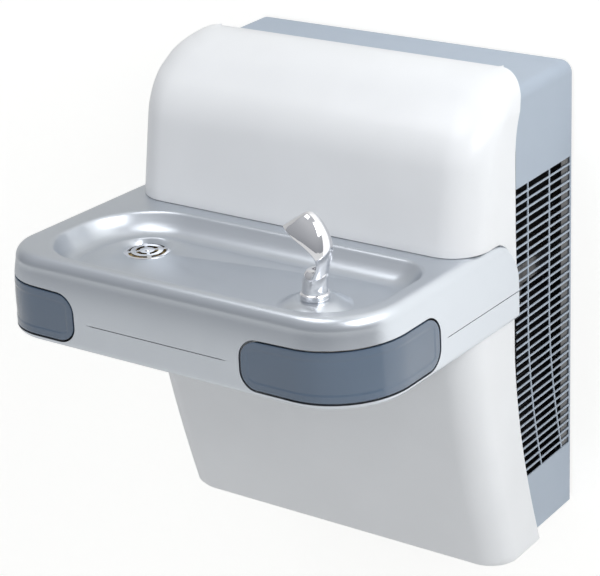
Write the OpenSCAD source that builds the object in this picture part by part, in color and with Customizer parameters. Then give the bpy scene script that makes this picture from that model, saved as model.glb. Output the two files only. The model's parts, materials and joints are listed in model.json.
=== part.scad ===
// Wall-hung barrier-free water cooler.
// +Z is up, the wall is the plane y = 0, the basin reaches out towards -Y and x = 0 is the middle.
// The origin is the centre of the cabinet's back. A drop is a depth below the cabinet's top, in mm.

/* [Cabinet] */
// Width of the steel cabinet
cab_w = 440; // [420:1:450]
// Height of the steel cabinet
cab_h = 568; // [560:1:600]
// Radius of the cabinet's top corners
cab_r = 14; // [8:1:20]
// Thickness of the cabinet's sheet
sheet_t = 1.2; // [0.8:0.1:2]
// Depth of the turned-in strip beside the plastic panels
return_in = 8; // [5:1:10]

/* [Grille] */
// Drop of the first slot
grille_drop = 114.5; // [105:0.5:125]
// Number of slots in a column
slot_count = 36; // [20:1:37]
// Distance from one slot to the next
slot_pitch = 10.4; // [9:0.1:11]
// Height of a slot
slot_h = 8.2; // [6:0.1:8.6]
// Width of the upright bars
bar_w = 2; // [1.5:0.1:4]
// Distance from the panel edge to the near upright bar
near_bar = 54; // [45:1:60]
// Distance from the panel edge to the far upright bar
far_bar = 105; // [90:1:115]
// Sheet left between the grille and the wall
grille_margin = 3; // [2:0.5:8]

/* [Panel edge seen from the side] */
// Distance from the wall to the panels' rear edge
edge_reach = 158; // [150:1:165]
// Drop where the edge starts to curve back to the wall
edge_tuck_drop = 292; // [280:1:310]
// How far the edge has curved back at the foot
edge_tuck = 61; // [40:1:70]
// Drop where the edge starts to lean back at the head
edge_head_drop = 75; // [60:1:90]
// How far the edge leans back at the head
edge_head = 40; // [30:1:44]
// How far the edge bulges back round the basin's end
bulge_rise = 11; // [6:0.5:12]
// Height of that bulge
bulge_h = 60; // [50:1:70]

/* [Upper shroud] */
// Width of the upper shroud
shroud_w = 468; // [464:1:472]
// Distance from the wall to the shroud's front at its foot
shroud_front = 261; // [255:1:268]
// Distance from the wall to the shroud's knee
knee_front = 239; // [230:1:245]
// Drop of the knee
knee_drop = 34; // [25:1:45]
// Distance from the wall to the front of the crown
crown_front = 173; // [165:1:180]
// Height of the crown above the cabinet
crown_rise = 22; // [18:1:26]
// Distance from the wall to the back of the crown
crown_back = 118; // [115:1:122]
// Radius of the shroud's upright corners
shroud_r = 46; // [35:1:50]
// Radius of the shroud's top corners
shroud_top_r = 40; // [35:1:45]
// Wall of the plastic shroud
shroud_t = 3; // [2.5:0.1:3.5]

/* [Lower panel] */
// Width of the lower panel
panel_w = 464; // [460:1:468]
// Distance from the wall to the panel's front at its head
panel_front = 260; // [256:1:262]
// How far the front curves back at the foot
panel_tuck = 71; // [60:1:75]
// Drop where the front starts to curve back
panel_tuck_drop = 270; // [262:1:290]
// Drop of the panel's foot
panel_foot_drop = 577; // [574:1:590]
// Radius of the panel's upright corners
panel_r = 36; // [30:1:42]
// Radius of the edge at the foot
panel_foot_r = 8; // [5:1:10]
// Wall of the plastic panel
panel_t = 3; // [2.5:0.1:3.5]

/* [Basin] */
// Reach of the basin right of the middle, at its back
basin_right = 240; // [236:0.5:242]
// Reach of the basin left of the middle, at its back
basin_left = 251; // [246:0.5:253]
// Distance from the wall to the basin's front
basin_front = 475; // [474:1:480]
// Distance from the wall to the basin's back
basin_back = 159; // [158:1:160]
// Radius of the basin's right front corner
basin_r = 90; // [80:1:100]
// Radius of the basin's left front corner
basin_left_r = 60; // [55:1:70]
// Share of its reach that the right side loses towards the front
basin_draw_share = 0.038; // [0.02:0.001:0.05]
// Share of its reach that the left side gains towards the front
basin_flare_share = 0.077; // [0.05:0.001:0.08]
// Drop of the deck round the bowl
deck_drop = 156; // [154:0.5:160]
// Drop of the seam between basin and apron
seam_drop = 222; // [218:1:226]
// Drop of the apron's underside
apron_drop = 257; // [254:1:260]
// How far the rim stands inside the widest line, at the seam
skirt_lean = 5; // [3:0.5:5]
// Radius of the basin's rim
rim_r = 12; // [8:0.5:12.5]
// Wall of the basin
basin_t = 2.4; // [2:0.1:3]
// Wall of the apron
apron_t = 2.4; // [2:0.1:3]
// Distance from the middle to the bowl's left edge
bowl_left = 216; // [205:1:217]
// Distance from the middle to the bowl's right edge
bowl_right = 213; // [205:1:216]
// Distance from the wall to the bowl's front edge
bowl_front = 456; // [446:1:457]
// Distance from the wall to the bowl's back edge
bowl_back = 277; // [275:1:284]
// Radius of the bowl's right front corner
bowl_front_r = 80; // [70:1:85]
// Radius of the bowl's left front corner
bowl_left_r = 68; // [60:1:80]
// Radius of the bowl's right back corner
bowl_back_r = 45; // [40:1:60]
// Radius of the bowl's left back corner
bowl_end_r = 88; // [80:1:90]
// Depth of the bowl at the drain
bowl_depth = 30; // [26:0.5:34]

/* [Bubbler and drain] */
// Place of the drain left of the middle
drain_x = 151; // [140:1:155]
// Distance from the wall to the drain
drain_y = 336; // [330:1:345]
// Radius of the drain hole
drain_r = 25; // [23:0.5:25.5]
// Place of the bubbler right of the middle
bubbler_x = 118; // [112:1:120]
// Distance from the wall to the bubbler
bubbler_y = 387; // [380:1:392]
// Radius of the bubbler's base ring
bubbler_r = 16.5; // [15:0.5:18]
// Height of the bubbler above its seat
bubbler_h = 101; // [90:1:105]
// Outer radius of the waste tube
waste_r = 15.875; // [14:0.125:17]
// Outer radius of the inlet tube
inlet_r = 4.7625; // [3:0.0625:6]

/* [Push pads] */
// Distance from the middle to the right pad's inner end
pad_right_x = 80; // [75:1:90]
// Distance from the middle to the left pad's inner end
pad_left_x = 151; // [141:1:155]
// Distance from the wall to the pads' rear ends
pad_end_y = 326; // [320:1:335]
// Drop of the pads' top edge
pad_top_drop = 190; // [186:0.5:193]
// How much lower the top edge is at the pads' inner ends
pad_top_fall = 4; // [2:1:6]
// Drop of the pads' lower edge
pad_foot_drop = 248; // [244:0.5:249]
// Thickness of a pad
pad_t = 8; // [6:0.5:9]
// Travel of a pad
pad_travel = 3; // [2:0.5:3]
// Gap between a pad and the basin
pad_gap = 2.5; // [2.2:0.1:3]

/* [Cooling unit] */
// Radius of the cooling tank
tank_r = 48; // [40:1:52]
// Height of the cooling tank
tank_h = 134; // [120:1:136]
// Number of turns of the evaporator tube
evap_turns = 12; // [6:1:13]
// Radius of the compressor's shell
comp_r = 58; // [50:1:60]
// Height of the compressor's shell
comp_h = 132; // [120:1:140]
// Radius of the fan's blades
fan_r = 55; // [45:1:58]
// Number of fan blades
blade_count = 5; // [3:1:6]

/* [Hidden] */

// Small clearances and shared thin sizes
fit = 0.3;
seam_gap = 0.6;
shaft_fit = 0.05;
cut = 1;
basin_w = basin_left + basin_right;
round_fn = 48;
arc_n = 10;
white_c = [0.93, 0.945, 0.945];
steel_c = [0.71, 0.74, 0.79];
silver_c = [0.74, 0.76, 0.80];
pad_c = [0.42, 0.49, 0.57];
chrome_c = [0.80, 0.81, 0.83];
zinc_c = [0.62, 0.63, 0.64];
dark_c = [0.16, 0.16, 0.17];
copper_c = [0.72, 0.45, 0.30];
brass_c = [0.75, 0.62, 0.35];
foam_c = [0.90, 0.87, 0.74];

// Height of a place that lies a given drop below the cabinet's top
function up(drop) = cab_h / 2 - drop;

// Side profile of the panels' rear edge: the y of the edge at a drop
bulge_drop = seam_drop;
head_span = edge_head_drop + crown_rise;
foot_span = panel_foot_drop - edge_tuck_drop;
edge_head_power = 2.6;
edge_tuck_power = 1.7;
function head_part(d) = edge_head * pow(max(0, edge_head_drop - d) / head_span, edge_head_power);
function foot_part(d) = edge_tuck * pow(max(0, d - edge_tuck_drop) / foot_span, edge_tuck_power);
function bulge_part(d) = abs(d - bulge_drop) > bulge_h / 2 ? 0
  : bulge_rise * (1 + cos(360 * (d - bulge_drop) / bulge_h)) / 2;
function edge_y(d) = -edge_reach + head_part(d) + foot_part(d) + bulge_part(d);

// Side profile of the lower panel's front
panel_tuck_power = 1.4;
panel_span = panel_foot_drop - panel_tuck_drop;
function panel_y(d) = -panel_front
  + panel_tuck * pow(max(0, d - panel_tuck_drop) / panel_span, panel_tuck_power);

// Points of a round corner between two angles, n steps
function arc(cx, cy, r, a0, a1, n) = [for (i = [0:n]) let (a = a0 + (a1 - a0) * i / n)
  [cx + r * cos(a), cy + r * sin(a)]];

// Outline open at the back: from rear left round the front to rear right
function u_line(w, front, back, r, n) = let (k = min(r, back - front - fit)) concat(
  [[-w, back]], arc(-w + k, front + k, k, 180, 270, n), arc(w - k, front + k, k, 270, 360, n),
  [[w, back]]);

// Closed outline of a box with four round corners, anticlockwise from the rear left
function box_line(x0, x1, front, back, rfl, rfr, rbr, rbl, n) = concat(
  arc(x0 + rfl, front + rfl, rfl, 180, 270, n), arc(x1 - rfr, front + rfr, rfr, 270, 360, n),
  arc(x1 - rbr, back - rbr, rbr, 0, 90, n), arc(x0 + rbl, back - rbl, rbl, 90, 180, n));

function lift(line, z) = [for (p = line) [p[0], p[1], z]];
function quad_face(a, b, c, d) = [[a, b, c], [a, c, d]];

// Wall between an outer and an inner grid of points, whose rows may close on themselves
module shell(outer, inner, closed = false) {
  m = len(outer);
  n = len(outer[0]);
  o = m * n;
  last = closed ? n - 1 : n - 2;
  pts = concat([for (row = outer) each row], [for (row = inner) each row]);
  skin = [for (i = [0:m - 2], j = [0:last]) let (k = (j + 1) % n)
    each quad_face(i * n + j, (i + 1) * n + j, (i + 1) * n + k, i * n + k)];
  lining = [for (i = [0:m - 2], j = [0:last]) let (k = (j + 1) % n)
    each quad_face(o + i * n + j, o + i * n + k, o + (i + 1) * n + k, o + (i + 1) * n + j)];
  t = (m - 1) * n;
  foot = [for (j = [0:last]) let (k = (j + 1) % n) each quad_face(j, k, o + k, o + j)];
  head = [for (j = [0:last]) let (k = (j + 1) % n)
    each quad_face(t + k, t + j, o + t + j, o + t + k)];
  left = closed ? [] : [for (i = [0:m - 2])
    each quad_face((i + 1) * n, i * n, o + i * n, o + (i + 1) * n)];
  e = n - 1;
  right = closed ? [] : [for (i = [0:m - 2])
    each quad_face(i * n + e, (i + 1) * n + e, o + (i + 1) * n + e, o + i * n + e)];
  polyhedron(points = pts, faces = concat(skin, lining, foot, head, left, right), convexity = 8);
}

// Pipe of round stretches between points, with round elbows
module pipe(points, r) {
  for (i = [0:len(points) - 2]) rod(points[i], points[i + 1], r);
  for (i = [1:1:len(points) - 2]) translate(points[i]) sphere(r = r * elbow_share, $fn = round_fn);
}

elbow_share = 1.2;

// Round bar from one point to another
module rod(a, b, r) {
  v = b - a;
  len_v = norm(v);
  translate(a) rotate([0, acos(v[2] / len_v), atan2(v[1], v[0])])
    cylinder(r = r, h = len_v, $fn = round_fn);
}

// Box between two corners
module block(a, b) {
  translate([min(a[0], b[0]), min(a[1], b[1]), min(a[2], b[2])])
    cube([abs(b[0] - a[0]), abs(b[1] - a[1]), abs(b[2] - a[2])]);
}

// Extrudes an outline drawn as (y, z) along X, centred on x
module along_x(x, width) {
  translate([x - width / 2, 0, 0]) rotate([90, 0, 90]) linear_extrude(width) children();
}

// Extrudes an outline drawn as (x, z) along Y, from y0 towards the wall
module along_y(y0, depth) {
  translate([0, y0 + depth, 0]) rotate([90, 0, 0]) linear_extrude(depth) children();
}

// Drops used as stations down the cabinet
function stations(a, b, n) = [for (i = [0:n]) a + (b - a) * i / n];

// Cabinet
slot_wrap_share = 0.65;
side_n = 40;
return_lap = 14;
side_flat = 8;
top_reach = edge_reach - edge_head + return_lap;
function side_y(d) = edge_y(d) + side_flat;

module side_profile() {
  polygon(concat([[0, up(0)], [0, up(cab_h)]],
    [for (d = stations(cab_h, cab_r + cut, side_n)) [side_y(d), up(d)]],
    [[-top_reach, up(cab_r + cut)], [-top_reach, up(0)]]));
}

module cabinet_tube(grow) {
  r = cab_r - grow;
  w = cab_w / 2 - grow;
  polygon(concat([[-w, -cab_h / 2 - (grow > 0 ? cut : 0)], [w, -cab_h / 2 - (grow > 0 ? cut : 0)]],
    arc(w - r, cab_h / 2 - grow - r, r, 0, 90, arc_n),
    arc(-w + r, cab_h / 2 - grow - r, r, 90, 180, arc_n)));
}

// Line that the upright bars follow: the panels' edge without its bulge
function bar_y(d) = edge_y(d) - bulge_part(d);

module slot_column(front_gap, back_gap, bulged = 0) {
  for (i = [0:slot_count - 1]) let (d = grille_drop + i * slot_pitch, e = d + slot_h)
    polygon([[bar_y(d) + bulged * bulge_part(d) + front_gap, up(d)],
      [bar_y(e) + bulged * bulge_part(e) + front_gap, up(e)],
      [min(bar_y(e) + back_gap, -grille_margin), up(e)],
      [min(bar_y(d) + back_gap, -grille_margin), up(d)]]);
}

module grille_slots() {
  slot_column(side_flat - return_in * slot_wrap_share, near_bar - bar_w / 2, bulged = 1);
  slot_column(near_bar + bar_w / 2, far_bar - bar_w / 2);
  slot_column(far_bar + bar_w / 2, cab_h);
}

// Strip beside the panels, bent inwards and run on behind them
function return_line(d, grow) = let (w = cab_w / 2, y = side_y(d), r = return_in) concat(
  [[w - grow, y + fit]],
  [for (a = [0:15:90]) [w - r + (r - grow) * cos(a), y - (r - grow) * sin(a)]],
  [[w - r - return_in / 2, y - r + grow]]);

module side_return(s) {
  rows = stations(cab_h, cab_r + cut, side_n);
  mirror([s < 0 ? 1 : 0, 0, 0]) shell(
    [for (d = rows) [for (p = reversed(return_line(d, 0))) [p[0], p[1], up(d)]]],
    [for (d = rows) [for (p = reversed(return_line(d, sheet_t))) [p[0], p[1], up(d)]]]);
}

function reversed(list) = [for (i = [len(list) - 1:-1:0]) list[i]];

module cabinet_wrapper() {
  color(steel_c) difference() {
    union() {
      intersection() {
        along_y(-top_reach, top_reach) difference() {
          cabinet_tube(0);
          cabinet_tube(sheet_t);
        }
        along_x(0, cab_w + 2 * cut) side_profile();
      }
      side_return(1);
      side_return(-1);
    }
    along_x(0, cab_w + 2 * cut) grille_slots();
  }
}

// Back frame
frame_t = 1.5;
frame_flange = 22;
frame_w = cab_w - 2 * sheet_t - 2 * fit;
frame_top = sheet_t + fit;
shelf_skirt = 6;
shelf_drop = cab_h - shelf_skirt;
bolt_step = 254;
bolt_r = 4.5;
hanger_margin = 23;
hanger_w = bolt_step + 2 * hanger_margin;
hanger_h = 70;
hanger_drop = 60;
hanger_t = 3;
hook_h = 14;
service_gap = 12;
service_margin = 50;
service_sill = 30;
waste_drop = 233;
inlet_x = -80;
inlet_drop = 300;
service_x0 = -drain_x - waste_r - service_gap;
service_x1 = inlet_x + service_margin;
service_drop0 = waste_drop - waste_r - service_gap;
service_drop1 = inlet_drop + service_sill;

module back_frame() {
  color(zinc_c) intersection() {
    along_y(-frame_flange - cut, frame_flange + 2 * cut) cabinet_tube(sheet_t + fit);
    union() {
      difference() {
        block([-frame_w / 2, -frame_t, up(shelf_drop)], [frame_w / 2, 0, up(frame_top)]);
        block([-hanger_w / 2 - fit, -frame_t - cut, up(hanger_drop + hanger_h + fit)],
          [hanger_w / 2 + fit, cut, up(hanger_drop - fit)]);
        block([service_x0, -frame_t - cut, up(service_drop1)],
          [service_x1, cut, up(service_drop0)]);
      }
      for (s = [-1, 1])
        block([s * frame_w / 2, -frame_flange, up(shelf_drop)],
          [s * (frame_w / 2 - frame_t), -frame_t, up(grille_drop - slot_pitch)]);
      block([-frame_w / 2, -frame_flange, up(frame_top + frame_t)],
        [frame_w / 2, -frame_t, up(frame_top)]);
    }
  }
}

// Hanger that is bolted to the wall, inside the frame's window
module wall_bracket() {
  color(zinc_c) difference() {
    union() {
      block([-hanger_w / 2, -hanger_t, up(hanger_drop + hanger_h)],
        [hanger_w / 2, 0, up(hanger_drop)]);
      block([-hanger_w / 2, -hanger_t - frame_t, up(hanger_drop + hook_h)],
        [hanger_w / 2, -hanger_t, up(hanger_drop - hook_h)]);
    }
    for (s = [-1, 1]) translate([s * bolt_step / 2, cut, up(hanger_drop + hanger_h / 2)])
      rotate([90, 0, 0]) cylinder(r = bolt_r, h = hanger_t + 2 * cut, $fn = round_fn);
  }
}

// Base shelf
shelf_t = 2;
shelf_front = 180;
shelf_nose = cab_w - 4 * return_in;
gland_x = 150;
gland_y = 42;
gland_r = 10;
gland_wall = 4;

module base_shelf() {
  color(zinc_c) difference() {
    union() {
      block([-frame_w / 2, side_y(shelf_drop) + 2 * fit, up(shelf_drop + shelf_t)],
        [frame_w / 2, 0, up(shelf_drop)]);
      block([-shelf_nose / 2, -shelf_front, up(shelf_drop + shelf_t)],
        [shelf_nose / 2, -shelf_t, up(shelf_drop)]);
      block([-shelf_nose / 2, -shelf_front - shelf_t, up(cab_h)],
        [shelf_nose / 2, -shelf_front, up(shelf_drop)]);
    }
    translate([gland_x, -gland_y, up(cab_h)]) cylinder(r = gland_r + fit, h = cab_r, $fn = round_fn);
  }
}

// Upper shroud: one row of the shell at a drop, with its front at a given y
wing_share = 0.35;
shroud_foot_drop = bulge_drop + bulge_h * wing_share;
knee_r_share = 0.16;
crown_r_share = 0.26;
foot_pt = [-shroud_front, deck_drop];
knee_pt = [-knee_front, knee_drop];
crown_lift = 0.6;
crown_pt = [-crown_front, crown_lift - crown_rise];
back_pt = [-crown_back, -crown_rise];

// Blend of two straight lines that meet at q: a quadratic curve from part a of pq to part b of qr
function blend(p, q, r, a, b, n) = let (s = q + (p - q) * a, e = q + (r - q) * b)
  [for (i = [0:n]) let (t = i / n) s * (1 - t) * (1 - t) + q * 2 * t * (1 - t) + e * t * t];

shroud_path = concat([[-shroud_front, shroud_foot_drop]], [foot_pt],
  blend(foot_pt, knee_pt, crown_pt, 0.25, 0.35, 6),
  blend(knee_pt, crown_pt, back_pt, 0.4, 0.7, 7), [back_pt]);

function top_inset(d) = let (h = max(0, shroud_top_r - crown_rise - d)) shroud_top_r
  - sqrt(max(0, shroud_top_r * shroud_top_r - h * h));

function shroud_row(p, t) = let (
    d = p[1],
    lid = t * max(0, min(1, (shroud_top_r - d) / (shroud_top_r + crown_rise))),
    back = min(edge_y(d), -crown_back))
  lift(u_line(shroud_w / 2 - top_inset(d) - t, p[0] + t, max(back, p[0] + shroud_r / 8 + t),
    shroud_r - t, arc_n), up(d) - lid);

// Space that the basin and apron take up in the shroud's sides and front, seen from the side
cheek_y = 203;
cheek_n = 8;
function cheek_curve(g) = [for (i = [0:cheek_n]) let (a = 90 * i / cheek_n)
  [-cheek_y + (cheek_y - basin_back + g) * sin(a),
    up(deck_drop - g) - (seam_drop - deck_drop) * (1 - cos(a))]];

module cheek_profile(g) {
  polygon(concat([[-basin_front, up(deck_drop - g)]], cheek_curve(g),
    [[-basin_back + g, up(cab_h)], [-basin_front, up(cab_h)]]));
}

module upper_shroud() {
  lip_w = shroud_w / 2 - shroud_top_r;
  color(white_c) difference() {
    union() {
      shell([for (p = shroud_path) shroud_row(p, 0)],
        [for (p = shroud_path) shroud_row(p, shroud_t)]);
      block([-lip_w, -crown_back + seam_gap, up(-crown_rise + shroud_t / 2)],
        [lip_w, -crown_back + shroud_t, up(-seam_gap)]);
    }
    along_x(0, 2 * basin_w) cheek_profile(seam_gap);
    block([-shroud_w, -basin_front, up(cab_h)], [shroud_w, 0, up(shroud_foot_drop)]);
  }
}

// Lower panel
panel_head_drop = apron_drop + fit;
panel_steps = 18;
panel_rows = stations(panel_foot_drop - panel_foot_r, panel_head_drop, panel_steps);
panel_lip = 12;

function foot_rows(t) = [for (a = [90:-22.5:22.5]) let (k = panel_foot_r * (1 - cos(a)))
  lift(u_line(panel_w / 2 - panel_foot_r + (panel_foot_r - t) * cos(a),
      panel_y(panel_foot_drop) + panel_foot_r - (panel_foot_r - t) * cos(a),
      edge_y(panel_foot_drop) - panel_foot_r * sin(a), panel_r - t, arc_n),
    up(panel_foot_drop - panel_foot_r) - (panel_foot_r - t) * sin(a))];

function panel_grid(t) = concat(
  [lift(u_line(panel_w / 2 - panel_foot_r - panel_lip,
      panel_y(panel_foot_drop) + panel_foot_r + panel_lip,
      edge_y(panel_foot_drop) - panel_foot_r, panel_r - t, arc_n),
    up(panel_foot_drop) + t)],
  foot_rows(t),
  [for (d = panel_rows) lift(u_line(panel_w / 2 - t, panel_y(d) + t, edge_y(d), panel_r - t, arc_n),
    up(d))]);

screw_x = 150;
screw_r = 2.4;

module lower_panel() {
  color(white_c) difference() {
    shell(panel_grid(0), panel_grid(panel_t));
    for (s = [-1, 1]) translate([s * screw_x, screw_y, up(panel_foot_drop) - cut])
      cylinder(r = screw_r + fit, h = panel_t + 2 * cut, $fn = round_fn);
  }
}

screw_y = panel_y(panel_foot_drop) + panel_foot_r + panel_lip / 2;
screw_head_r = 4.5;
screw_head_h = 1.6;

module panel_screws() {
  color(zinc_c) for (s = [-1, 1]) translate([s * screw_x, screw_y, up(panel_foot_drop)]) {
    translate([0, 0, -screw_head_h]) cylinder(r = screw_head_r, h = screw_head_h, $fn = round_fn);
    cylinder(r = screw_r, h = panel_foot_drop - shelf_drop - shelf_t, $fn = round_fn);
  }
}

// Basin
function side_scale(s, y) = 1 + (s > 0 ? -basin_draw_share : basin_flare_share)
  * (-basin_back - y) / (basin_front - basin_back);
function drawn(line) = [for (p = line) [p[0] * side_scale(p[0], p[1]), p[1]]];
rear_draw_share = 0.1;
rear_r = 3;
function basin_line(inset, wall = 0) = drawn(box_line(-basin_left + inset, basin_right - inset,
  -basin_front + inset, -basin_back - wall - inset * rear_draw_share, basin_left_r - inset,
  basin_r - inset, rear_r, rear_r, arc_n));
function bowl_line(k) = drawn(box_line(-bowl_left + k, bowl_right - k, -bowl_front + k,
  -bowl_back - k, bowl_left_r - k, bowl_front_r - k, max(drain_r, bowl_back_r - k),
  bowl_end_r - k, arc_n));
function drain_line(r) = box_line(-drain_x - r, -drain_x + r, -drain_y - r, -drain_y + r,
  r, r, r, r, arc_n);

rim_margin = 1.5;
deck_edge = skirt_lean + rim_r + rim_margin;
wall_run = 26;
drain_seat = 4;
floor_share = 0.75;
floor_fall = bowl_depth * floor_share;
rim_fall_share = 1.3;
deck_top = deck_drop;
rim_low = deck_drop + rim_r * rim_fall_share;
// Bowl's wall, as shares of its run and of its fall
wall_shares = [[0.16, 0.11], [0.32, 0.42], [0.56, 0.78]];
// Shares of the way from the foot of the bowl's wall to the drain
floor_shares = [0.25, 0.5, 0.75, 1];

function between(a, b, t) = [for (i = [0:len(a) - 1]) a[i] * (1 - t) + b[i] * t];

function rim_row(a, t) = lift(basin_line(skirt_lean + rim_r - (rim_r - t) * cos(a), t),
  up(rim_low) + (rim_low - deck_drop - t) * sin(a));

// Places on the skirt between the seam and the rim: shares of its height and of its lean
skirt_shares = [[0, 0], [0.35, 0.12], [0.7, 0.5]];

function basin_grid(t) = concat(
  [for (k = skirt_shares) lift(basin_line(t + skirt_lean * k[1], t),
    up(seam_drop - seam_gap / 2) * (1 - k[0]) + up(rim_low) * k[0])],
  [for (a = [0:18:90]) rim_row(a, t)],
  [lift(basin_line(deck_edge, t), up(deck_top) - t),
    lift(bowl_line(0), up(deck_top) - t)],
  [for (w = wall_shares) lift(bowl_line(wall_run * w[0] - t / 2), up(deck_top + floor_fall * w[1]) - t)],
  [lift(bowl_line(wall_run), up(deck_top + floor_fall) - t)],
  [for (f = floor_shares) lift(between(bowl_line(wall_run), drain_line(drain_r + drain_seat), f),
    up(deck_top + floor_fall + (bowl_depth - floor_fall) * f) - t)],
  [lift(drain_line(drain_r - drain_seat), up(deck_top + bowl_depth) - t)]);

// Raised seat of the bubbler
seat_r = 45;
seat_top_r = 20;
seat_h = 9;
seat_z = up(deck_top + floor_fall) + seat_h;
seat_sink = 2 * basin_t;
shank_r = 9;

module seat_dome(t) {
  rotate_extrude($fn = 2 * round_fn) polygon(concat([[0, -seat_sink]],
    [[seat_r - t, -seat_sink], [seat_r - t, 0]],
    [for (i = [1:6]) let (f = i / 6) [seat_r - (seat_r - seat_top_r) * f - t * (1 - f),
      (seat_h - t) * (1 - cos(180 * f)) / 2]],
    [[0, seat_h - t]]));
}

// Right half of an outline, or its left half turned over to the right
function sided(s, line) = s > 0 ? line : reversed([for (p = line) [-p[0], p[1]]]);

// Cuts for a pad: everything the pad needs from its inner end round the corner to its rear end
pad_end_r = 20;

// Rounded end view of a pad, from u0 onwards, falling by fall at its end
module pad_view(u0, top, fall, foot, reach, g) {
  r = pad_end_r + g;
  hull() {
    translate([u0 - g + r, up(top + fall) + g - r]) circle(r = r, $fn = round_fn);
    translate([u0 - g + r, up(foot) - g + r]) circle(r = r, $fn = round_fn);
    translate([u0 + reach, up(foot) - g]) square([cut, up(top) - up(foot) + 2 * g]);
    translate([u0 + reach * 2, up(foot) - g]) square([cut, up(top) - up(foot) + 2 * g]);
  }
}

module pad_solid(s, g, outer, inner) {
  x0 = s > 0 ? pad_right_x : pad_left_x;
  mirror([s < 0 ? 1 : 0, 0, 0]) intersection() {
    translate([0, 0, up(apron_drop)]) linear_extrude(apron_drop - deck_drop) difference() {
      polygon(sided(s, basin_line(outer)));
      polygon(sided(s, basin_line(inner)));
    }
    along_y(-basin_front - 2 * cut, basin_front - basin_back)
      pad_view(x0, pad_top_drop, pad_top_fall, pad_foot_drop, basin_w / 4, g);
    translate([basin_w, 0, 0]) mirror([1, 0, 0]) rotate([90, 0, 90]) linear_extrude(2 * basin_w)
      mirror([1, 0, 0])
      pad_view(pad_end_y, pad_top_drop, 0, pad_foot_drop, basin_w / 6, g);
  }
}

module basin() {
  color(silver_c) difference() {
    union() {
      shell(basin_grid(0), basin_grid(basin_t), closed = true);
      translate([bubbler_x, -bubbler_y, seat_z - seat_h]) seat_dome(0);
    }
    translate([-drain_x, -drain_y, up(deck_top + bowl_depth) - basin_t - cut])
      cylinder(r = drain_r, h = basin_t + 2 * cut, $fn = round_fn);
    translate([bubbler_x, -bubbler_y, seat_z - seat_h - seat_sink - cut]) {
      cylinder(r = shank_r + fit, h = seat_h + seat_sink + 2 * cut, $fn = round_fn);
      cylinder(r = seat_top_r - basin_t, h = seat_h + seat_sink + cut - 2 * basin_t, $fn = round_fn);
    }
    difference() {
      block([-basin_w, -cheek_y, up(seam_drop)], [basin_w, 0, up(deck_drop) + cut]);
      along_x(0, 2 * basin_w) cheek_profile(0);
    }
    block([-basin_left + 2 * basin_t, -basin_back - 2 * basin_t, up(cab_h)],
      [basin_right - 2 * basin_t, 0, up(0)]);
    pad_solid(1, pad_gap, -cut, pad_t * 2);
    pad_solid(-1, pad_gap, -cut, pad_t * 2);
  }
}

// Apron
apron_foot_r = 8;
apron_open = 20;

function apron_grid(t) = concat(
  [lift(basin_line(apron_foot_r + apron_open, t), up(apron_drop) + t)],
  [for (a = [90:-30:0]) lift(basin_line(apron_foot_r - (apron_foot_r - t) * cos(a), t),
    up(apron_drop - apron_foot_r) - (apron_foot_r - t) * sin(a))],
  [lift(basin_line(t, t), up(seam_drop + seam_gap / 2))]);

module basin_apron() {
  color(silver_c) difference() {
    union() {
      shell(apron_grid(0), apron_grid(apron_t), closed = true);
      translate([0, 0, up(apron_drop) + fit / 3]) linear_extrude(apron_t - fit)
        polygon(basin_line(apron_foot_r + apron_open - 2 * cut));
    }
    block([-basin_left + 3 * apron_t, -shroud_front, up(cab_h)],
      [basin_right - 3 * apron_t, 0, up(0)]);
    pad_solid(1, pad_gap, -cut, pad_t * 2);
    pad_solid(-1, pad_gap, -cut, pad_t * 2);
  }
}

// Arms that carry the basin from the back frame
arm_inset = 41.5;
arm_x = basin_right - arm_inset;
arm_t = 2.5;
arm_h = 24;
arm_drop = 225;
arm_seat = 39;
arm_reach = shroud_front + arm_seat;
arm_tab = 16;

module basin_support(s) {
  color(zinc_c) mirror([s < 0 ? 1 : 0, 0, 0]) {
    block([arm_x, -arm_reach, up(arm_drop + arm_h)], [arm_x + arm_t, -frame_t, up(arm_drop)]);
    block([arm_x - arm_tab, -frame_t - arm_t, up(arm_drop + arm_h)],
      [arm_x, -frame_t, up(arm_drop)]);
    block([arm_x - arm_tab, -arm_reach, up(apron_drop - apron_t)],
      [arm_x + arm_t, -shroud_front - arm_t, up(arm_drop + arm_h)]);
  }
}

module basin_support_left() { basin_support(-1); }
module basin_support_right() { basin_support(1); }

module support_screws() {
  color(zinc_c) for (s = [-1, 1]) translate([s * (arm_x - arm_tab / 2), -frame_t - arm_t,
      up(arm_drop + arm_h / 2)])
    rotate([90, 0, 0]) cylinder(r = screw_head_r, h = screw_head_h, $fn = round_fn);
}

// Drain
floor_z = up(deck_top + bowl_depth);
strainer_lap = 2.6;
strainer_r = drain_r + strainer_lap;
strainer_t = 1.2;
ring_slot_w = 5;

module drain_slots(r, w, gap) {
  difference() {
    circle(r = r + w / 2, $fn = round_fn);
    circle(r = r - w / 2, $fn = round_fn);
    for (a = [45, 135]) rotate(a) square([3 * r, gap], center = true);
  }
}

module drain_strainer() {
  color(chrome_c) translate([-drain_x, -drain_y, floor_z]) {
    linear_extrude(strainer_t) difference() {
      circle(r = strainer_r, $fn = round_fn);
      drain_slots(drain_r * 0.86, ring_slot_w, ring_slot_w);
      drain_slots(drain_r * 0.45, ring_slot_w * 0.9, ring_slot_w * 0.7);
      circle(r = screw_r, $fn = round_fn);
    }
  }
}

spigot_drop = 10;
web_t = 3;

module strainer_screw() {
  color(chrome_c) translate([-drain_x, -drain_y, floor_z - spigot_drop]) {
    cylinder(r = screw_r - 2 * fit, h = spigot_drop + strainer_t, $fn = round_fn);
    translate([0, 0, spigot_drop + strainer_t])
      cylinder(r = screw_r * 1.3, h = screw_head_h / 2, $fn = round_fn);
  }
}

gasket_t = 1.5;
nut_t = 7;
drain_lip = 7;
nut_wall = 5;
body_flange_r = drain_r + drain_lip;

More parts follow.
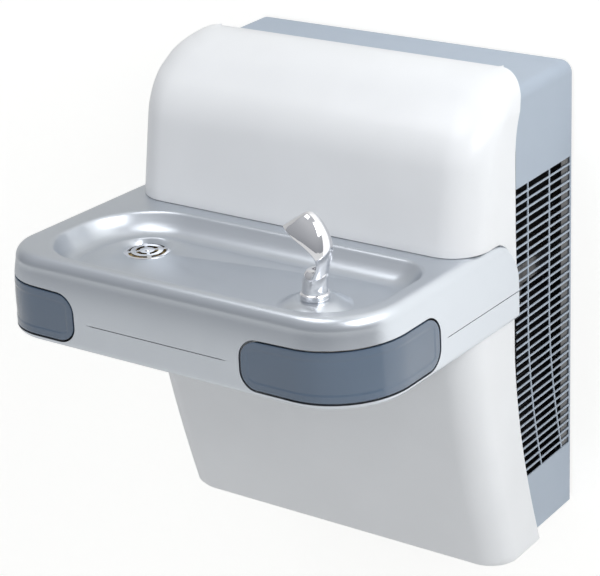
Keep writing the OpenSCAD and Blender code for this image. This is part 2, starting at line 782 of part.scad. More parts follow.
module drain_gasket() {
  color(dark_c) translate([-drain_x, -drain_y, floor_z - basin_t - gasket_t]) difference() {
    cylinder(r = body_flange_r, h = gasket_t, $fn = round_fn);
    translate([0, 0, -cut]) cylinder(r = drain_r, h = gasket_t + 2 * cut, $fn = round_fn);
  }
}

module drain_body() {
  color(brass_c) translate([-drain_x, -drain_y, 0]) difference() {
    union() {
      translate([0, 0, floor_z - basin_t - gasket_t - web_t])
        cylinder(r = body_flange_r, h = web_t, $fn = round_fn);
      translate([0, 0, waste_z + waste_r + web_t])
        cylinder(r = waste_r, h = floor_z - basin_t - gasket_t - web_t - waste_z - waste_r - web_t,
          $fn = round_fn);
    }
    translate([0, 0, waste_z]) difference() {
      cylinder(r = waste_r - web_t, h = waste_r * 4, $fn = round_fn);
      translate([-waste_r, -web_t / 2, floor_z - waste_z - spigot_drop - web_t])
        cube([2 * waste_r, web_t, web_t]);
    }
  }
}

waste_z = up(waste_drop);

module drain_locknut() {
  z = waste_z + waste_r + web_t;
  color(brass_c) translate([-drain_x, -drain_y, z + fit]) difference() {
    cylinder(r = waste_r + nut_wall, h = nut_t, $fn = 6);
    translate([0, 0, -cut]) cylinder(r = waste_r + fit, h = nut_t + 2 * cut, $fn = round_fn);
  }
}

// Waste tube: down from the drain, then straight back to a spigot at the wall
waste_end_y = 12;
spigot_l = 40;
spigot_step = 1;

module waste_tube() {
  run = drain_y - waste_end_y;
  color(zinc_c) translate([-drain_x, -drain_y, waste_z]) difference() {
    union() {
      cylinder(r = waste_r, h = waste_r + web_t, $fn = round_fn);
      sphere(r = waste_r, $fn = round_fn);
      rotate([-90, 0, 0]) cylinder(r = waste_r - spigot_step, h = run - spigot_l + cut, $fn = round_fn);
      translate([0, run - spigot_l, 0]) rotate([-90, 0, 0])
        cylinder(r = waste_r, h = spigot_l, $fn = round_fn);
    }
    cylinder(r = waste_r - web_t, h = waste_r + web_t + cut, $fn = round_fn);
    sphere(r = waste_r - web_t, $fn = round_fn);
    rotate([-90, 0, 0]) cylinder(r = waste_r - web_t, h = run + cut, $fn = round_fn);
  }
}

// Bubbler: base ring, leaning body and a curved guard that looks towards the drain
ring_h = 8;
body_r = 14.5;
body_h = 34;
guard_t = 2.2;
guard_rows = 14;
guard_cols = 10;

module bubbler_gasket() {
  color(dark_c) translate([bubbler_x, -bubbler_y, seat_z]) difference() {
    cylinder(r = bubbler_r - cut, h = gasket_t / 2, $fn = round_fn);
    translate([0, 0, -cut]) cylinder(r = shank_r + fit, h = gasket_t + 2 * cut, $fn = round_fn);
  }
}

// Middle line of the guard, as shares of its height: (x, z), then half width and edge curl shares
guard_path_shares = [[0.16, 0.30], [0.25, 0.48], [0.27, 0.68], [0.14, 0.86], [-0.06, 0.97],
  [-0.20, 0.90], [-0.31, 0.77]];
guard_half_shares = [0.10, 0.12, 0.155, 0.17, 0.15, 0.10, 0.02];
guard_curl_shares = [0.10, 0.12, 0.13, 0.12, 0.09, 0.05, 0.0];

// Smooth value between the entries of a list, at t from 0 to 1
function along(list, t) = let (n = len(list) - 1, s = min(n - 0.0001, t * n), i = floor(s), f = s - i,
    a = list[max(0, i - 1)], b = list[i], c = list[i + 1], d = list[min(n, i + 2)])
  b + (c - a) * (f / 2) + (a * 2 - b * 5 + c * 4 - d) * (f * f / 2)
  + (b * 3 - a - c * 3 + d) * (f * f * f / 2);

function guard_row(t, g) = let (
    p = along(guard_path_shares, t) * bubbler_h,
    q = along(guard_path_shares, min(1, t + 0.02)) * bubbler_h,
    o = along(guard_path_shares, max(0, t - 0.02)) * bubbler_h,
    dir = (q - o) / norm(q - o),
    nrm = [-dir[1], dir[0]],
    half = along(guard_half_shares, t) * bubbler_h,
    curl = along(guard_curl_shares, t) * bubbler_h)
  [for (j = [0:guard_cols]) let (u = 2 * j / guard_cols - 1,
      off = nrm * (curl * u * u + g))
    [p[0] + off[0], u * (half - g / 2), p[1] + off[1]]];

function guard_grid(g) = [for (i = [0:guard_rows]) guard_row(i / guard_rows, g)];

module bubbler() {
  color(chrome_c) translate([bubbler_x, -bubbler_y, seat_z + gasket_t / 2]) {
    rotate_extrude($fn = round_fn) polygon([[0, 0], [bubbler_r, 0], [bubbler_r, ring_h * 0.8],
      [bubbler_r - cut, ring_h], [0, ring_h]]);
    difference() {
      union() {
        hull() {
          translate([0, 0, ring_h - cut]) cylinder(r = body_r, h = cut, $fn = 32);
          translate([bubbler_r * 0.45, 0, body_h]) scale([1, 0.9, 1])
            cylinder(r = body_r * 0.75, h = cut, $fn = 32);
        }
        shell(guard_grid(0), guard_grid(guard_t));
      }
      translate(nozzle_at) rotate([0, nozzle_tilt, 0]) translate([0, 0, -nozzle_l / 2])
        cylinder(r = nozzle_r + fit, h = 2 * nozzle_l, $fn = round_fn);
    }
    translate([0, 0, -shank_l]) cylinder(r = shank_r, h = shank_l, $fn = round_fn);
  }
}

shank_l = 38;
nozzle_r = 4;
nozzle_l = 12;
nozzle_tilt = -35;
nozzle_at = [bubbler_r * 0.2, 0, body_h + cut];

module bubbler_nozzle() {
  color(chrome_c) translate([bubbler_x, -bubbler_y, seat_z + gasket_t / 2]) translate(nozzle_at)
    rotate([0, nozzle_tilt, 0]) translate([0, 0, -nozzle_l / 2 + fit]) difference() {
      cylinder(r = nozzle_r, h = nozzle_l, $fn = round_fn);
      translate([0, 0, nozzle_l / 2]) cylinder(r = nozzle_r / 2, h = nozzle_l, $fn = round_fn);
    }
}

module bubbler_locknut() {
  color(brass_c) translate([bubbler_x, -bubbler_y, seat_z - 2 * basin_t - nut_t]) difference() {
    cylinder(r = shank_r + nut_wall, h = nut_t, $fn = 6);
    translate([0, 0, -cut]) cylinder(r = shank_r + fit, h = nut_t + 2 * cut, $fn = round_fn);
  }
}

// Push pads and what works behind them
carrier_inset = 16;
carrier_t = 2;
function half_w(s) = s > 0 ? basin_right : basin_left;
function corner_r(s) = s > 0 ? basin_r : basin_left_r;
function corner_y(s) = -basin_front + corner_r(s);
function corner_x(s) = (half_w(s) - corner_r(s)) * side_scale(s, corner_y(s));
switch_z = up((pad_top_drop + pad_foot_drop) / 2);
switch_w = 14;
switch_l = 22;
plunger_r = 2.4;
// Distance from the corner's centre to the basin's outline, along the pad's line of travel
function diag_reach(s, inset) = let (r = corner_r(s), k = (r - inset) / sqrt(2), y = corner_y(s) - k)
  ((half_w(s) - r + k) * side_scale(s, y) - corner_x(s) + k) / sqrt(2);
// Share of its width by which a flat face comes nearer to the drawn or flared outline
skew_ratio = 1.2;
function skew_share(s) = skew_ratio * (s > 0 ? basin_draw_share : basin_flare_share);
function plunger_tip(s) = diag_reach(s, pad_t) - fit - switch_w / 2 * skew_share(s);
function face_sag(s) = switch_w * switch_w / (8 * (corner_r(s) - carrier_inset - carrier_t));
function switch_face(s) = diag_reach(s, carrier_inset + carrier_t) - fit - face_sag(s)
  - switch_w * skew_share(s);

module push_pad_right() { color(pad_c) pad_solid(1, 0, fit, pad_t); }
module push_pad_left() { color(pad_c) pad_solid(-1, 0, fit, pad_t); }

carrier_back_share = 0.25;
carrier_end_share = 1.3;

module pad_carrier(s) {
  color(zinc_c) mirror([s < 0 ? 1 : 0, 0, 0]) difference() {
    translate([0, 0, up(apron_drop - apron_t)])
      linear_extrude(apron_drop - apron_t - pad_top_drop - pad_top_fall) intersection() {
        difference() {
          polygon(sided(s, basin_line(carrier_inset)));
          polygon(sided(s, basin_line(carrier_inset + carrier_t)));
        }
        translate([corner_x(s) - corner_r(s) * carrier_back_share, -basin_front])
          square([basin_w, corner_r(s) * carrier_end_share]);
      }
    translate([corner_x(s), corner_y(s), switch_z]) rotate([0, 90, -45])
      cylinder(r = plunger_r + 2 * fit, h = basin_r, $fn = round_fn);
  }
}

module pad_carrier_right() { pad_carrier(1); }
module pad_carrier_left() { pad_carrier(-1); }

module pad_switch(s) {
  color(dark_c) mirror([s < 0 ? 1 : 0, 0, 0]) translate([corner_x(s), corner_y(s), switch_z])
    rotate([0, 0, -45]) difference() {
      translate([switch_face(s) - switch_l, -switch_w / 2, -switch_w / 2])
        cube([switch_l, switch_w, switch_w]);
      rotate([0, 90, 0]) translate([0, 0, switch_face(s) - switch_l / 2 - pad_travel])
        cylinder(r = plunger_r + fit, h = switch_l, $fn = round_fn);
    }
}

module pad_switch_right() { pad_switch(1); }
module pad_switch_left() { pad_switch(-1); }

module switch_plunger(s) {
  color(brass_c) mirror([s < 0 ? 1 : 0, 0, 0]) translate([corner_x(s), corner_y(s), switch_z])
    rotate([0, 90, -45]) translate([0, 0, switch_face(s) - switch_l / 2 + fit])
      cylinder(r = plunger_r, h = plunger_tip(s) - switch_face(s) + switch_l / 2 - fit, $fn = round_fn);
}

module switch_plunger_right() { switch_plunger(1); }
module switch_plunger_left() { switch_plunger(-1); }

// Bowed leaf springs between carrier and pad
leaf_half = 15;
leaf_t = 0.5;
leaf_h = 10;
function leaf_base(s) = diag_reach(s, carrier_inset) + leaf_t + fit
  - leaf_half * leaf_half / (2 * (corner_r(s) - carrier_inset));
function leaf_rise(s) = plunger_tip(s) - leaf_base(s);
function leaf_r(s) = (leaf_half * leaf_half + leaf_rise(s) * leaf_rise(s)) / (2 * leaf_rise(s));

module pad_springs(s) {
  color(zinc_c) mirror([s < 0 ? 1 : 0, 0, 0]) for (z = [-1, 1])
    translate([corner_x(s), corner_y(s), switch_z + z * (switch_w / 2 + leaf_h) - leaf_h / 2])
      rotate([0, 0, -45]) translate([plunger_tip(s) - leaf_r(s), 0, 0]) linear_extrude(leaf_h)
        intersection() {
          difference() {
            circle(r = leaf_r(s), $fn = 4 * round_fn);
            circle(r = leaf_r(s) - leaf_t, $fn = 4 * round_fn);
          }
          translate([leaf_r(s) - leaf_rise(s), -leaf_half]) square([leaf_rise(s) + cut, 2 * leaf_half]);
        }
}

module pad_springs_right() { pad_springs(1); }
module pad_springs_left() { pad_springs(-1); }

// Solenoid valve behind the lower panel
valve_x = 50;
valve_y = 214;
valve_drop = 330;
valve_z = up(valve_drop);
valve_l = 56;
valve_r = 13;
coil_r = 20;
coil_h = 34;
stem_r = 7;
adjust_r = 4;
valve_stroke = 2;
adjust_l = 16;
adjust_wall = 3;
adjust_boss = 6;
adjust_seat = 2;
stem_wall = 2;
stem_cap = 3;
line_r = 3.175;

module solenoid_valve() {
  color(brass_c) translate([valve_x, -valve_y, valve_z]) difference() {
    union() {
      rotate([0, 90, 0]) translate([0, 0, -valve_l / 2])
        cylinder(r = valve_r, h = valve_l, $fn = round_fn);
      cylinder(r = stem_r, h = valve_r + coil_h + cut, $fn = round_fn);
      rotate([90, 0, 0]) cylinder(r = adjust_r + adjust_wall, h = valve_r + adjust_boss, $fn = round_fn);
    }
    translate([0, 0, valve_r]) cylinder(r = stem_r - stem_wall, h = coil_h - stem_cap, $fn = round_fn);
    rotate([90, 0, 0]) translate([0, 0, valve_r - adjust_seat])
      cylinder(r = adjust_r + shaft_fit, h = adjust_l, $fn = round_fn);
  }
}

module solenoid_coil() {
  color(dark_c) translate([valve_x, -valve_y, valve_z + valve_r + fit]) difference() {
    cylinder(r = coil_r, h = coil_h - 2 * fit, $fn = round_fn);
    translate([0, 0, -cut]) cylinder(r = stem_r + fit, h = coil_h + 2 * cut, $fn = round_fn);
  }
}

module valve_plunger() {
  color(zinc_c) translate([valve_x, -valve_y, valve_z + valve_r + fit])
    cylinder(r = stem_r - stem_wall - fit, h = coil_h - stem_cap - 3 * fit - valve_stroke,
      $fn = round_fn);
}

module stream_adjuster() {
  color(brass_c) translate([valve_x, -valve_y, valve_z]) rotate([90, 0, 0]) difference() {
    union() {
      translate([0, 0, valve_r - adjust_seat + fit])
        cylinder(r = adjust_r, h = adjust_l, $fn = round_fn);
      translate([0, 0, valve_r - adjust_seat + fit + adjust_l])
        cylinder(r = adjust_r + stem_wall, h = web_t, $fn = round_fn);
    }
    translate([-adjust_r * 2, -fit * 2, valve_r - adjust_seat + adjust_l + web_t])
      cube([adjust_r * 4, fit * 4, web_t]);
  }
}

module valve_bracket() {
  color(zinc_c) {
    block([valve_x - valve_l / 2, -valve_y + valve_r + fit, valve_z - valve_r - arm_t],
      [valve_x + valve_l / 2, -frame_t, valve_z - valve_r]);
    block([valve_x - valve_l / 2, -valve_y - valve_r, valve_z - valve_r - arm_t],
      [valve_x + valve_l / 2, -valve_y + valve_r + fit, valve_z - valve_r]);
  }
}

// Water inlet, facing the wall
inlet_z = up(inlet_drop);
inlet_wall = 1;
inlet_nut_r = 11;
inlet_y = 60;

module inlet_fitting() {
  color(brass_c) translate([inlet_x, 0, inlet_z]) rotate([90, 0, 0]) difference() {
    union() {
      translate([0, 0, waste_end_y]) cylinder(r = inlet_r, h = inlet_y - waste_end_y, $fn = round_fn);
      translate([0, 0, inlet_y - nut_t * 2]) cylinder(r = inlet_nut_r, h = nut_t * 2, $fn = 6);
    }
    cylinder(r = inlet_r - inlet_wall, h = inlet_y - nut_t, $fn = round_fn);
  }
}

// Water lines: inlet to tank, tank to valve, valve to bubbler
tank_x = -100;
tank_y = 90;
tank_top_drop = 34;
foam_t = 20;
tank_foot = up(tank_top_drop + foam_t + tank_h);
stub = 12;
tank_dish = 6;
riser_drop = 242;

module water_lines() {
  a = [inlet_x, -inlet_y, inlet_z];
  color(copper_c) {
    pipe([a, a + [0, -stub, 0], [tank_x + tank_r / 2, -tank_y, inlet_z],
      [tank_x + tank_r / 2, -tank_y, tank_foot]], line_r);
    pipe([[tank_x + tank_r * 0.8, -tank_y, tank_foot], [tank_x + tank_r * 0.8, -tank_y, inlet_z + stub],
      [0, -tank_y, inlet_z + stub], [0, -valve_y, valve_z],
      [valve_x - valve_l / 2, -valve_y, valve_z]], line_r);
    pipe([[valve_x + valve_l / 2, -valve_y, valve_z],
      [valve_x + valve_l / 2 + stub, -valve_y, valve_z],
      [valve_x + valve_l / 2 + stub, -valve_y, up(riser_drop)],
      [bubbler_x, -bubbler_y, up(riser_drop)],
      [bubbler_x, -bubbler_y, seat_z + gasket_t / 2 - shank_l]], line_r);
  }
}

// Cooling tank in its foam, carried by a bracket on the back frame
module cooling_tank() {
  color(steel_c) translate([tank_x, -tank_y, tank_foot])
    rotate_extrude($fn = round_fn) polygon([[0, 0], [tank_r - tank_dish, 0], [tank_r, tank_dish],
      [tank_r, tank_h - tank_dish], [tank_r - tank_dish, tank_h], [0, tank_h]]);
}

evap_r = 3.2;
evap_step = (tank_h - 6 * evap_r) / evap_turns;

module evaporator_coil() {
  color(copper_c) translate([tank_x, -tank_y, tank_foot + 3 * evap_r + evap_step / 2])
    for (i = [0:evap_turns - 1]) translate([0, 0, i * evap_step]) rotate_extrude($fn = round_fn)
      translate([tank_r + evap_r + fit, 0]) circle(r = evap_r, $fn = 24);
}

foam_gap = 2 * evap_r + 2 * fit;

module tank_insulation() {
  color(foam_c) translate([tank_x, -tank_y, tank_foot - foam_t + stub / 2]) difference() {
    cylinder(r = tank_r + foam_t, h = tank_h + 2 * foam_t - stub / 2, $fn = 2 * round_fn);
    translate([0, 0, foam_t - stub / 2])
      cylinder(r = tank_r + foam_gap, h = tank_h + fit, $fn = 2 * round_fn);
    for (x = [tank_r / 2, tank_r * 0.8]) translate([x, 0, -cut])
      cylinder(r = line_r + fit, h = foam_t, $fn = round_fn);
    translate([-tank_r * 2, -fit / 2, -cut]) cube([tank_r * 4, fit, tank_h * 2]);
  }
}

module tank_bracket() {
  z = tank_foot - foam_t + stub / 2;
  color(zinc_c) {
    block([tank_x - tank_r, -tank_y - tank_r / 2, z - arm_t], [tank_x + tank_r / 4, -frame_t, z]);
    block([tank_x - tank_r, -frame_t - arm_t, z - arm_t],
      [tank_x + tank_r / 4, -frame_t, z + foam_t]);
  }
}

// Compressor on rubber feet
comp_x = -88;
comp_y = 80;
foot_h = 10;
foot_step = 44;
foot_r = 8;
foot_waist_r = 6;
plate_t = 3;
comp_z = up(shelf_drop) + foot_h + plate_t;
port_share = 0.25;

module compressor() {
  color(dark_c) translate([comp_x, -comp_y, comp_z]) {
    rotate_extrude($fn = 2 * round_fn) polygon([[0, 0], [comp_r * 0.8, 0], [comp_r, comp_r * 0.25],
      [comp_r, comp_h * 0.55], [comp_r * 0.97, comp_h * 0.75], [comp_r * 0.8, comp_h * 0.93],
      [comp_r * 0.4, comp_h], [0, comp_h]]);
    translate([0, 0, -plate_t / 2]) cube([2.2 * foot_step, 2.2 * foot_step, plate_t], center = true);
  }
}

module compressor_feet() {
  color(dark_c) for (x = [-1, 1], y = [-1, 1])
    translate([comp_x + x * foot_step, -comp_y + y * foot_step, up(shelf_drop)])
      rotate_extrude($fn = round_fn) polygon([[0, 0], [foot_r, 0], [foot_waist_r, foot_h / 2],
        [foot_r, foot_h], [0, foot_h]]);
}

module terminal_cover() {
  w = comp_r * 0.7;
  color(dark_c) translate([comp_x, -comp_y, comp_z + comp_h * 0.3]) difference() {
    translate([comp_r * 0.7, -w / 2, 0]) cube([comp_r * 0.6, w, w * 1.1]);
    cylinder(r = comp_r + fit, h = 3 * w, center = true, $fn = 2 * round_fn);
  }
}

// Condenser, fan shroud, motor and blade, blowing out through the right grille
cond_x = 176;
cond_t = 26;
cond_w = 112;
cond_h = 190;
cond_y = 76;
cond_drop = 380;
cond_z = up(cond_drop);
fin_step = 7;
fin_t = 0.8;
tube_rows = 6;
cond_tube_r = 3.2;

module condenser_fins() {
  n = floor(cond_h / fin_step);
  color(zinc_c) translate([cond_x, -cond_y, cond_z]) {
    difference() {
      for (i = [0:n]) translate([-cond_t / 2, -cond_w / 2, -cond_h / 2 + i * (cond_h - fin_t) / n])
        cube([cond_t, cond_w, fin_t]);
      for (i = [0:tube_rows - 1]) translate([0, (i - (tube_rows - 1) / 2) * cond_w / tube_rows, 0])
        cylinder(r = cond_tube_r + fit, h = cond_h * 2, center = true, $fn = round_fn);
    }
    for (s = [-1, 1]) translate([-cond_t / 2, s * (cond_w / 2 + fin_t / 2) - fin_t / 2, -cond_h / 2])
      cube([cond_t, fin_t, cond_h]);
  }
}

module condenser_tube() {
  step = cond_w / tube_rows;
  y0 = -(tube_rows - 1) / 2 * step;
  z1 = cond_h / 2 + 2 * cond_tube_r;
  color(copper_c) translate([cond_x, -cond_y, cond_z]) {
    for (i = [0:tube_rows - 1]) translate([0, y0 + i * step, 0])
      cylinder(r = cond_tube_r, h = 2 * z1, center = true, $fn = round_fn);
    for (i = [0:tube_rows - 2]) let (s = i % 2 == 0 ? 1 : -1)
      translate([0, y0 + (i + 0.5) * step, s * (z1 - fit)]) rotate([90, 0, 90])
        rotate([0, 0, s > 0 ? 0 : 180]) rotate_extrude(angle = 180, $fn = round_fn)
          translate([step / 2, 0]) circle(r = cond_tube_r + fit / 2, $fn = round_fn);
  }
}

shroud_plate_t = 1.5;
duct_l = 30;
duct_wall = 1;
fan_gap = 1;
shaft_end = 4;
duct_x = cond_x - cond_t / 2 - fit - shroud_plate_t;

module fan_shroud() {
  color(zinc_c) difference() {
    union() {
      block([duct_x, -cond_y - cond_w / 2, cond_z - cond_h / 2],
        [duct_x + shroud_plate_t, -cond_y + cond_w / 2, cond_z + cond_h / 2]);
      translate([duct_x - duct_l, -cond_y, cond_z]) rotate([0, 90, 0])
        cylinder(r = fan_r + duct_wall, h = duct_l, $fn = 2 * round_fn);
      block([duct_x - fan_r / 2, -cond_y - fan_r / 3, up(shelf_drop)],
        [duct_x + shroud_plate_t, -cond_y + fan_r / 3, up(shelf_drop) + shelf_t]);
      block([duct_x, -cond_y - fan_r / 3, up(shelf_drop)],
        [duct_x + shroud_plate_t, -cond_y + fan_r / 3, cond_z - cond_h / 2]);
      for (s = [-1, 1]) block([duct_x - duct_l - motor_l, -cond_y - motor_arm / 2 + s * motor_r,
          cond_z - motor_arm / 2], [duct_x - duct_l, -cond_y + motor_arm / 2 + s * motor_r,
          cond_z + motor_arm / 2]);
      for (s = [-1, 1]) block([duct_x - duct_l - motor_arm / 2, -cond_y + s * motor_r - motor_arm / 2,
          cond_z - motor_arm / 2], [duct_x - duct_l, -cond_y + s * (fan_r + duct_wall),
          cond_z + motor_arm / 2]);
    }
    translate([duct_x - duct_l - cut, -cond_y, cond_z]) rotate([0, 90, 0])
      cylinder(r = fan_r, h = duct_l + shroud_plate_t + 2 * cut, $fn = 2 * round_fn);
    translate([duct_x - duct_l - motor_l * 2, -cond_y, cond_z]) rotate([0, 90, 0])
      cylinder(r = motor_r + fit / 3, h = motor_l * 2 + cut, $fn = 2 * round_fn);
  }
}

motor_r = 26;
motor_l = 34;
motor_arm = 8;
shaft_r = 3;
hub_r = 14;
hub_l = 14;
motor_x = duct_x - duct_l - fan_gap;

module fan_motor() {
  color(dark_c) translate([motor_x, -cond_y, cond_z]) rotate([0, 90, 0]) {
    translate([0, 0, -motor_l]) cylinder(r = motor_r, h = motor_l, $fn = round_fn);
    cylinder(r = shaft_r, h = hub_l + shaft_end, $fn = round_fn);
  }
}

module fan_blade() {
  color(steel_c) translate([motor_x + 2 * fan_gap, -cond_y, cond_z]) rotate([0, 90, 0]) {
    difference() {
      cylinder(r = hub_r, h = hub_l, $fn = round_fn);
      translate([0, 0, -cut]) cylinder(r = shaft_r + shaft_fit, h = hub_l + 2 * cut, $fn = round_fn);
    }
    for (i = [0:blade_count - 1]) rotate([0, 0, 360 * i / blade_count])
      translate([hub_r - cut, 0, hub_l / 2]) rotate([28, 0, 0])
        translate([0, -hub_r * 0.8, -fin_t / 2]) cube([fan_r - hub_r - cut, hub_r * 1.6, fin_t]);
  }
}

// Refrigerant circuit
drier_x = -5;
drier_y = 40;
drier_r = 10;
drier_l = 90;
drier_neck_r = 4;
drier_drop = 480;
drier_z = up(drier_drop);

module filter_drier() {
  color(copper_c) translate([drier_x, -drier_y, drier_z]) rotate_extrude($fn = round_fn)
    polygon([[0, -drier_l / 2], [drier_neck_r, -drier_l / 2], [drier_r, -drier_l / 3],
      [drier_r, drier_l / 3], [drier_neck_r, drier_l / 2], [0, drier_l / 2]]);
}

module suction_line() {
  y = tank_y + tank_r + foam_t;
  z0 = comp_z + comp_h;
  x1 = comp_x - comp_r * port_share;
  color(copper_c) pipe([[x1, -comp_y, z0], [x1, -comp_y, z0 + 2 * stub],
    [x1 - stub, -y - stub, z0 + 2 * stub], [comp_x, -y - stub, tank_foot + stub],
    [comp_x, -y, tank_foot + stub]], line_r);
}

module capillary_tube() {
  color(copper_c) pipe([[drier_x, -drier_y, drier_z + drier_l / 2],
    [drier_x, -drier_y, tank_foot + tank_h / 4], [drier_x, -tank_y, tank_foot + tank_h / 4],
    [tank_x + tank_r + foam_t + fit, -tank_y, tank_foot + tank_h / 4]], line_r / 2);
}

// Hot line from the compressor to the condenser, and the liquid line back to the drier
module condenser_lines() {
  y1 = cond_y + (tube_rows - 1) / 2 * cond_w / tube_rows;
  z0 = up(shelf_drop) + 2 * stub;
  color(copper_c) {
    pipe([[comp_x + comp_r * port_share, -comp_y, comp_z + comp_h],
      [comp_x + comp_r * port_share, -comp_y, comp_z + comp_h + stub],
      [comp_x + comp_r * port_share, -y1 - 2 * stub, comp_z + comp_h + stub],
      [cond_x, -y1 - 2 * stub, comp_z + comp_h + stub],
      [cond_x, -y1 - 2 * stub, cond_z - cond_h / 2 - stub],
      [cond_x, -y1, cond_z - cond_h / 2 - stub], [cond_x, -y1, cond_z - cond_h / 2
        - 2 * cond_tube_r]], line_r);
    pipe([[drier_x, -drier_y, drier_z - drier_l / 2], [drier_x, -drier_y, z0],
      [cond_x, -drier_y, z0], [cond_x, -drier_y, cond_z - cond_h / 2 - stub],
      [cond_x, y1 - 2 * cond_y, cond_z - cond_h / 2 - stub],
      [cond_x, y1 - 2 * cond_y, cond_z - cond_h / 2 - 2 * cond_tube_r]], line_r);
  }
}

// Controls on the back frame
stat_x = 40;
stat_drop = 265;
stat_z = up(stat_drop);
stat_w = 40;
stat_d = 26;
knob_r = 3;
knob_l = 12;

module thermostat() {
  color(zinc_c) translate([stat_x, -frame_t, stat_z]) rotate([90, 0, 0]) difference() {
    translate([-stat_w / 2, -stat_w / 2, 0]) cube([stat_w, stat_w, stat_d]);
    translate([0, 0, stat_d / 2]) cylinder(r = knob_r + shaft_fit, h = stat_d, $fn = round_fn);
  }
}

module thermostat_shaft() {
  color(dark_c) translate([stat_x, -frame_t, stat_z]) rotate([90, 0, 0]) {
    translate([0, 0, stat_d / 2 + fit]) cylinder(r = knob_r, h = stat_d / 2 + knob_l, $fn = round_fn);
    translate([0, 0, stat_d + 3 * fit]) difference() {
      cylinder(r = knob_r * 3, h = knob_l, $fn = round_fn);
      translate([knob_r * 1.5, -knob_r / 4, knob_l - cut]) cube([knob_r * 2, knob_r / 2, knob_l]);
    }
  }
}

box_x = 108;
box_w = 64;
box_h = 58;
box_d = 40;
box_drop = 256;

module junction_box() {
  color(zinc_c) translate([box_x - box_w / 2, -frame_t - box_d, up(box_drop + box_h)]) {
    difference() {
      cube([box_w, box_d, box_h]);
      translate([sheet_t, sheet_t, sheet_t])
        cube([box_w - 2 * sheet_t, box_d - 2 * sheet_t, box_h - 2 * sheet_t]);
    }
  }
}

module cord_gland() {
  color(dark_c) translate([gland_x, -gland_y, up(shelf_drop + shelf_t)]) difference() {
    union() {
      translate([0, 0, -shelf_t]) cylinder(r = gland_r + gland_wall, h = shelf_t, $fn = 6);
      cylinder(r = gland_r, h = 3 * shelf_t, $fn = round_fn);
      translate([0, 0, shelf_t + fit]) cylinder(r = gland_r + gland_wall, h = nut_t, $fn = 6);
    }
    translate([0, 0, -nut_t]) cylinder(r = gland_r / 2, h = 4 * nut_t, $fn = round_fn);
  }
}

wall_bracket();
back_frame();
base_shelf();
cabinet_wrapper();
upper_shroud();
lower_panel();
panel_screws();
basin();
basin_apron();
basin_support_left();
basin_support_right();
support_screws();
drain_strainer();
strainer_screw();
drain_gasket();
drain_body();
drain_locknut();
waste_tube();
bubbler_gasket();
bubbler();
bubbler_nozzle();
bubbler_locknut();
push_pad_right();
push_pad_left();
pad_carrier_right();
pad_carrier_left();
pad_springs_right();
pad_springs_left();
pad_switch_right();
pad_switch_left();
switch_plunger_right();
switch_plunger_left();
solenoid_valve();
solenoid_coil();
valve_plunger();
valve_bracket();
stream_adjuster();
inlet_fitting();
water_lines();
cooling_tank();
evaporator_coil();
tank_insulation();
tank_bracket();
compressor();
compressor_feet();
terminal_cover();
condenser_fins();
condenser_tube();
fan_shroud();
fan_motor();
fan_blade();
filter_drier();
suction_line();
condenser_lines();
capillary_tube();
thermostat();
thermostat_shaft();
junction_box();
cord_gland();
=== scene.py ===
"""Looks of a wall-hung barrier-free water cooler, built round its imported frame.

Lengths are in metres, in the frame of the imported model: +Z is up, the wall is the plane y = 0, the
basin reaches out towards -Y and x = 0 is the middle. A drop is a depth below the cabinet's top.
"""

import json
import logging
import math
from dataclasses import dataclass
from enum import Enum

import bpy
import numpy as np
from mathutils import Matrix, Vector

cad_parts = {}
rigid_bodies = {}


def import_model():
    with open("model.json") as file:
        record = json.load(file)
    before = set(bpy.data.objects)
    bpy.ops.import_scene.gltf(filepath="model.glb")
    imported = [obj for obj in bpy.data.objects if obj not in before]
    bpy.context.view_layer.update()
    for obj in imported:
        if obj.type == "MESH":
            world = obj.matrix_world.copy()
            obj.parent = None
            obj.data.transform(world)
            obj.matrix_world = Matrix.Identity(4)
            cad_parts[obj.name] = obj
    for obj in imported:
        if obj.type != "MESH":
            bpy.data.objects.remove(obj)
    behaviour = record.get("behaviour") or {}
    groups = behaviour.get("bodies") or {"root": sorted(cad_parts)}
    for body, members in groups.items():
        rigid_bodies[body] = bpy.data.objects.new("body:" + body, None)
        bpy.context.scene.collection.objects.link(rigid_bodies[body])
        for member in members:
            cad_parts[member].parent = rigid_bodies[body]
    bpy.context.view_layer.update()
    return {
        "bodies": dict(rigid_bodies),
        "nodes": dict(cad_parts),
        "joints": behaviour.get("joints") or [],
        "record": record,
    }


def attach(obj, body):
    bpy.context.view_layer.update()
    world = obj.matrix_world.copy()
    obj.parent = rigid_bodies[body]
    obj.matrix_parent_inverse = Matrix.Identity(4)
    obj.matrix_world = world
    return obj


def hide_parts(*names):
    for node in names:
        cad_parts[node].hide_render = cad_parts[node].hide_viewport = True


LOG = logging.getLogger("water_cooler")
MM = 0.001
Socket = bpy.types.NodeSocket
Piece = bpy.types.Object
# Angle in degrees above which an edge stays crisp
CREASE = 38.0
# Angle in degrees above which an edge is eased
EASED = 50.0
# Half the length of a cutter that reaches past both ends of the part
CUTTER_REACH = 0.3
# Where the bubbler stands in plan
BUBBLER_AT = (118 * MM, -387 * MM)
# Least straight side that an open outline keeps
LEAST_SIDE = 0.3 * MM
# Noise values that count as dark and as light
DARK, LIGHT = 0.3, 0.7


class Slot(Enum):
    """Material slots of the record, one per finish."""

    WHITE_SHELL = "white_shell"
    SATIN_STEEL = "satin_steel"
    CABINET_STEEL = "cabinet_steel"
    PAD_GREY = "pad_grey"
    POLISHED_STEEL = "polished_steel"
    ZINC_STEEL = "zinc_steel"
    BRASS = "brass"
    BLACK_RUBBER = "black_rubber"
    BLACK_PLASTIC = "black_plastic"
    TANK_STEEL = "tank_steel"
    FOAM = "foam"
    # Black enamel of the black parts, and painted shade on the inner back frame and basin supports
    BLACK_STEEL = "black_steel"
    FIN_ALUMINIUM = "fin_aluminium"
    COPPER = "copper"


class Side(Enum):
    """The two ends of the basin."""

    RIGHT = 1
    LEFT = -1


# Node graphs


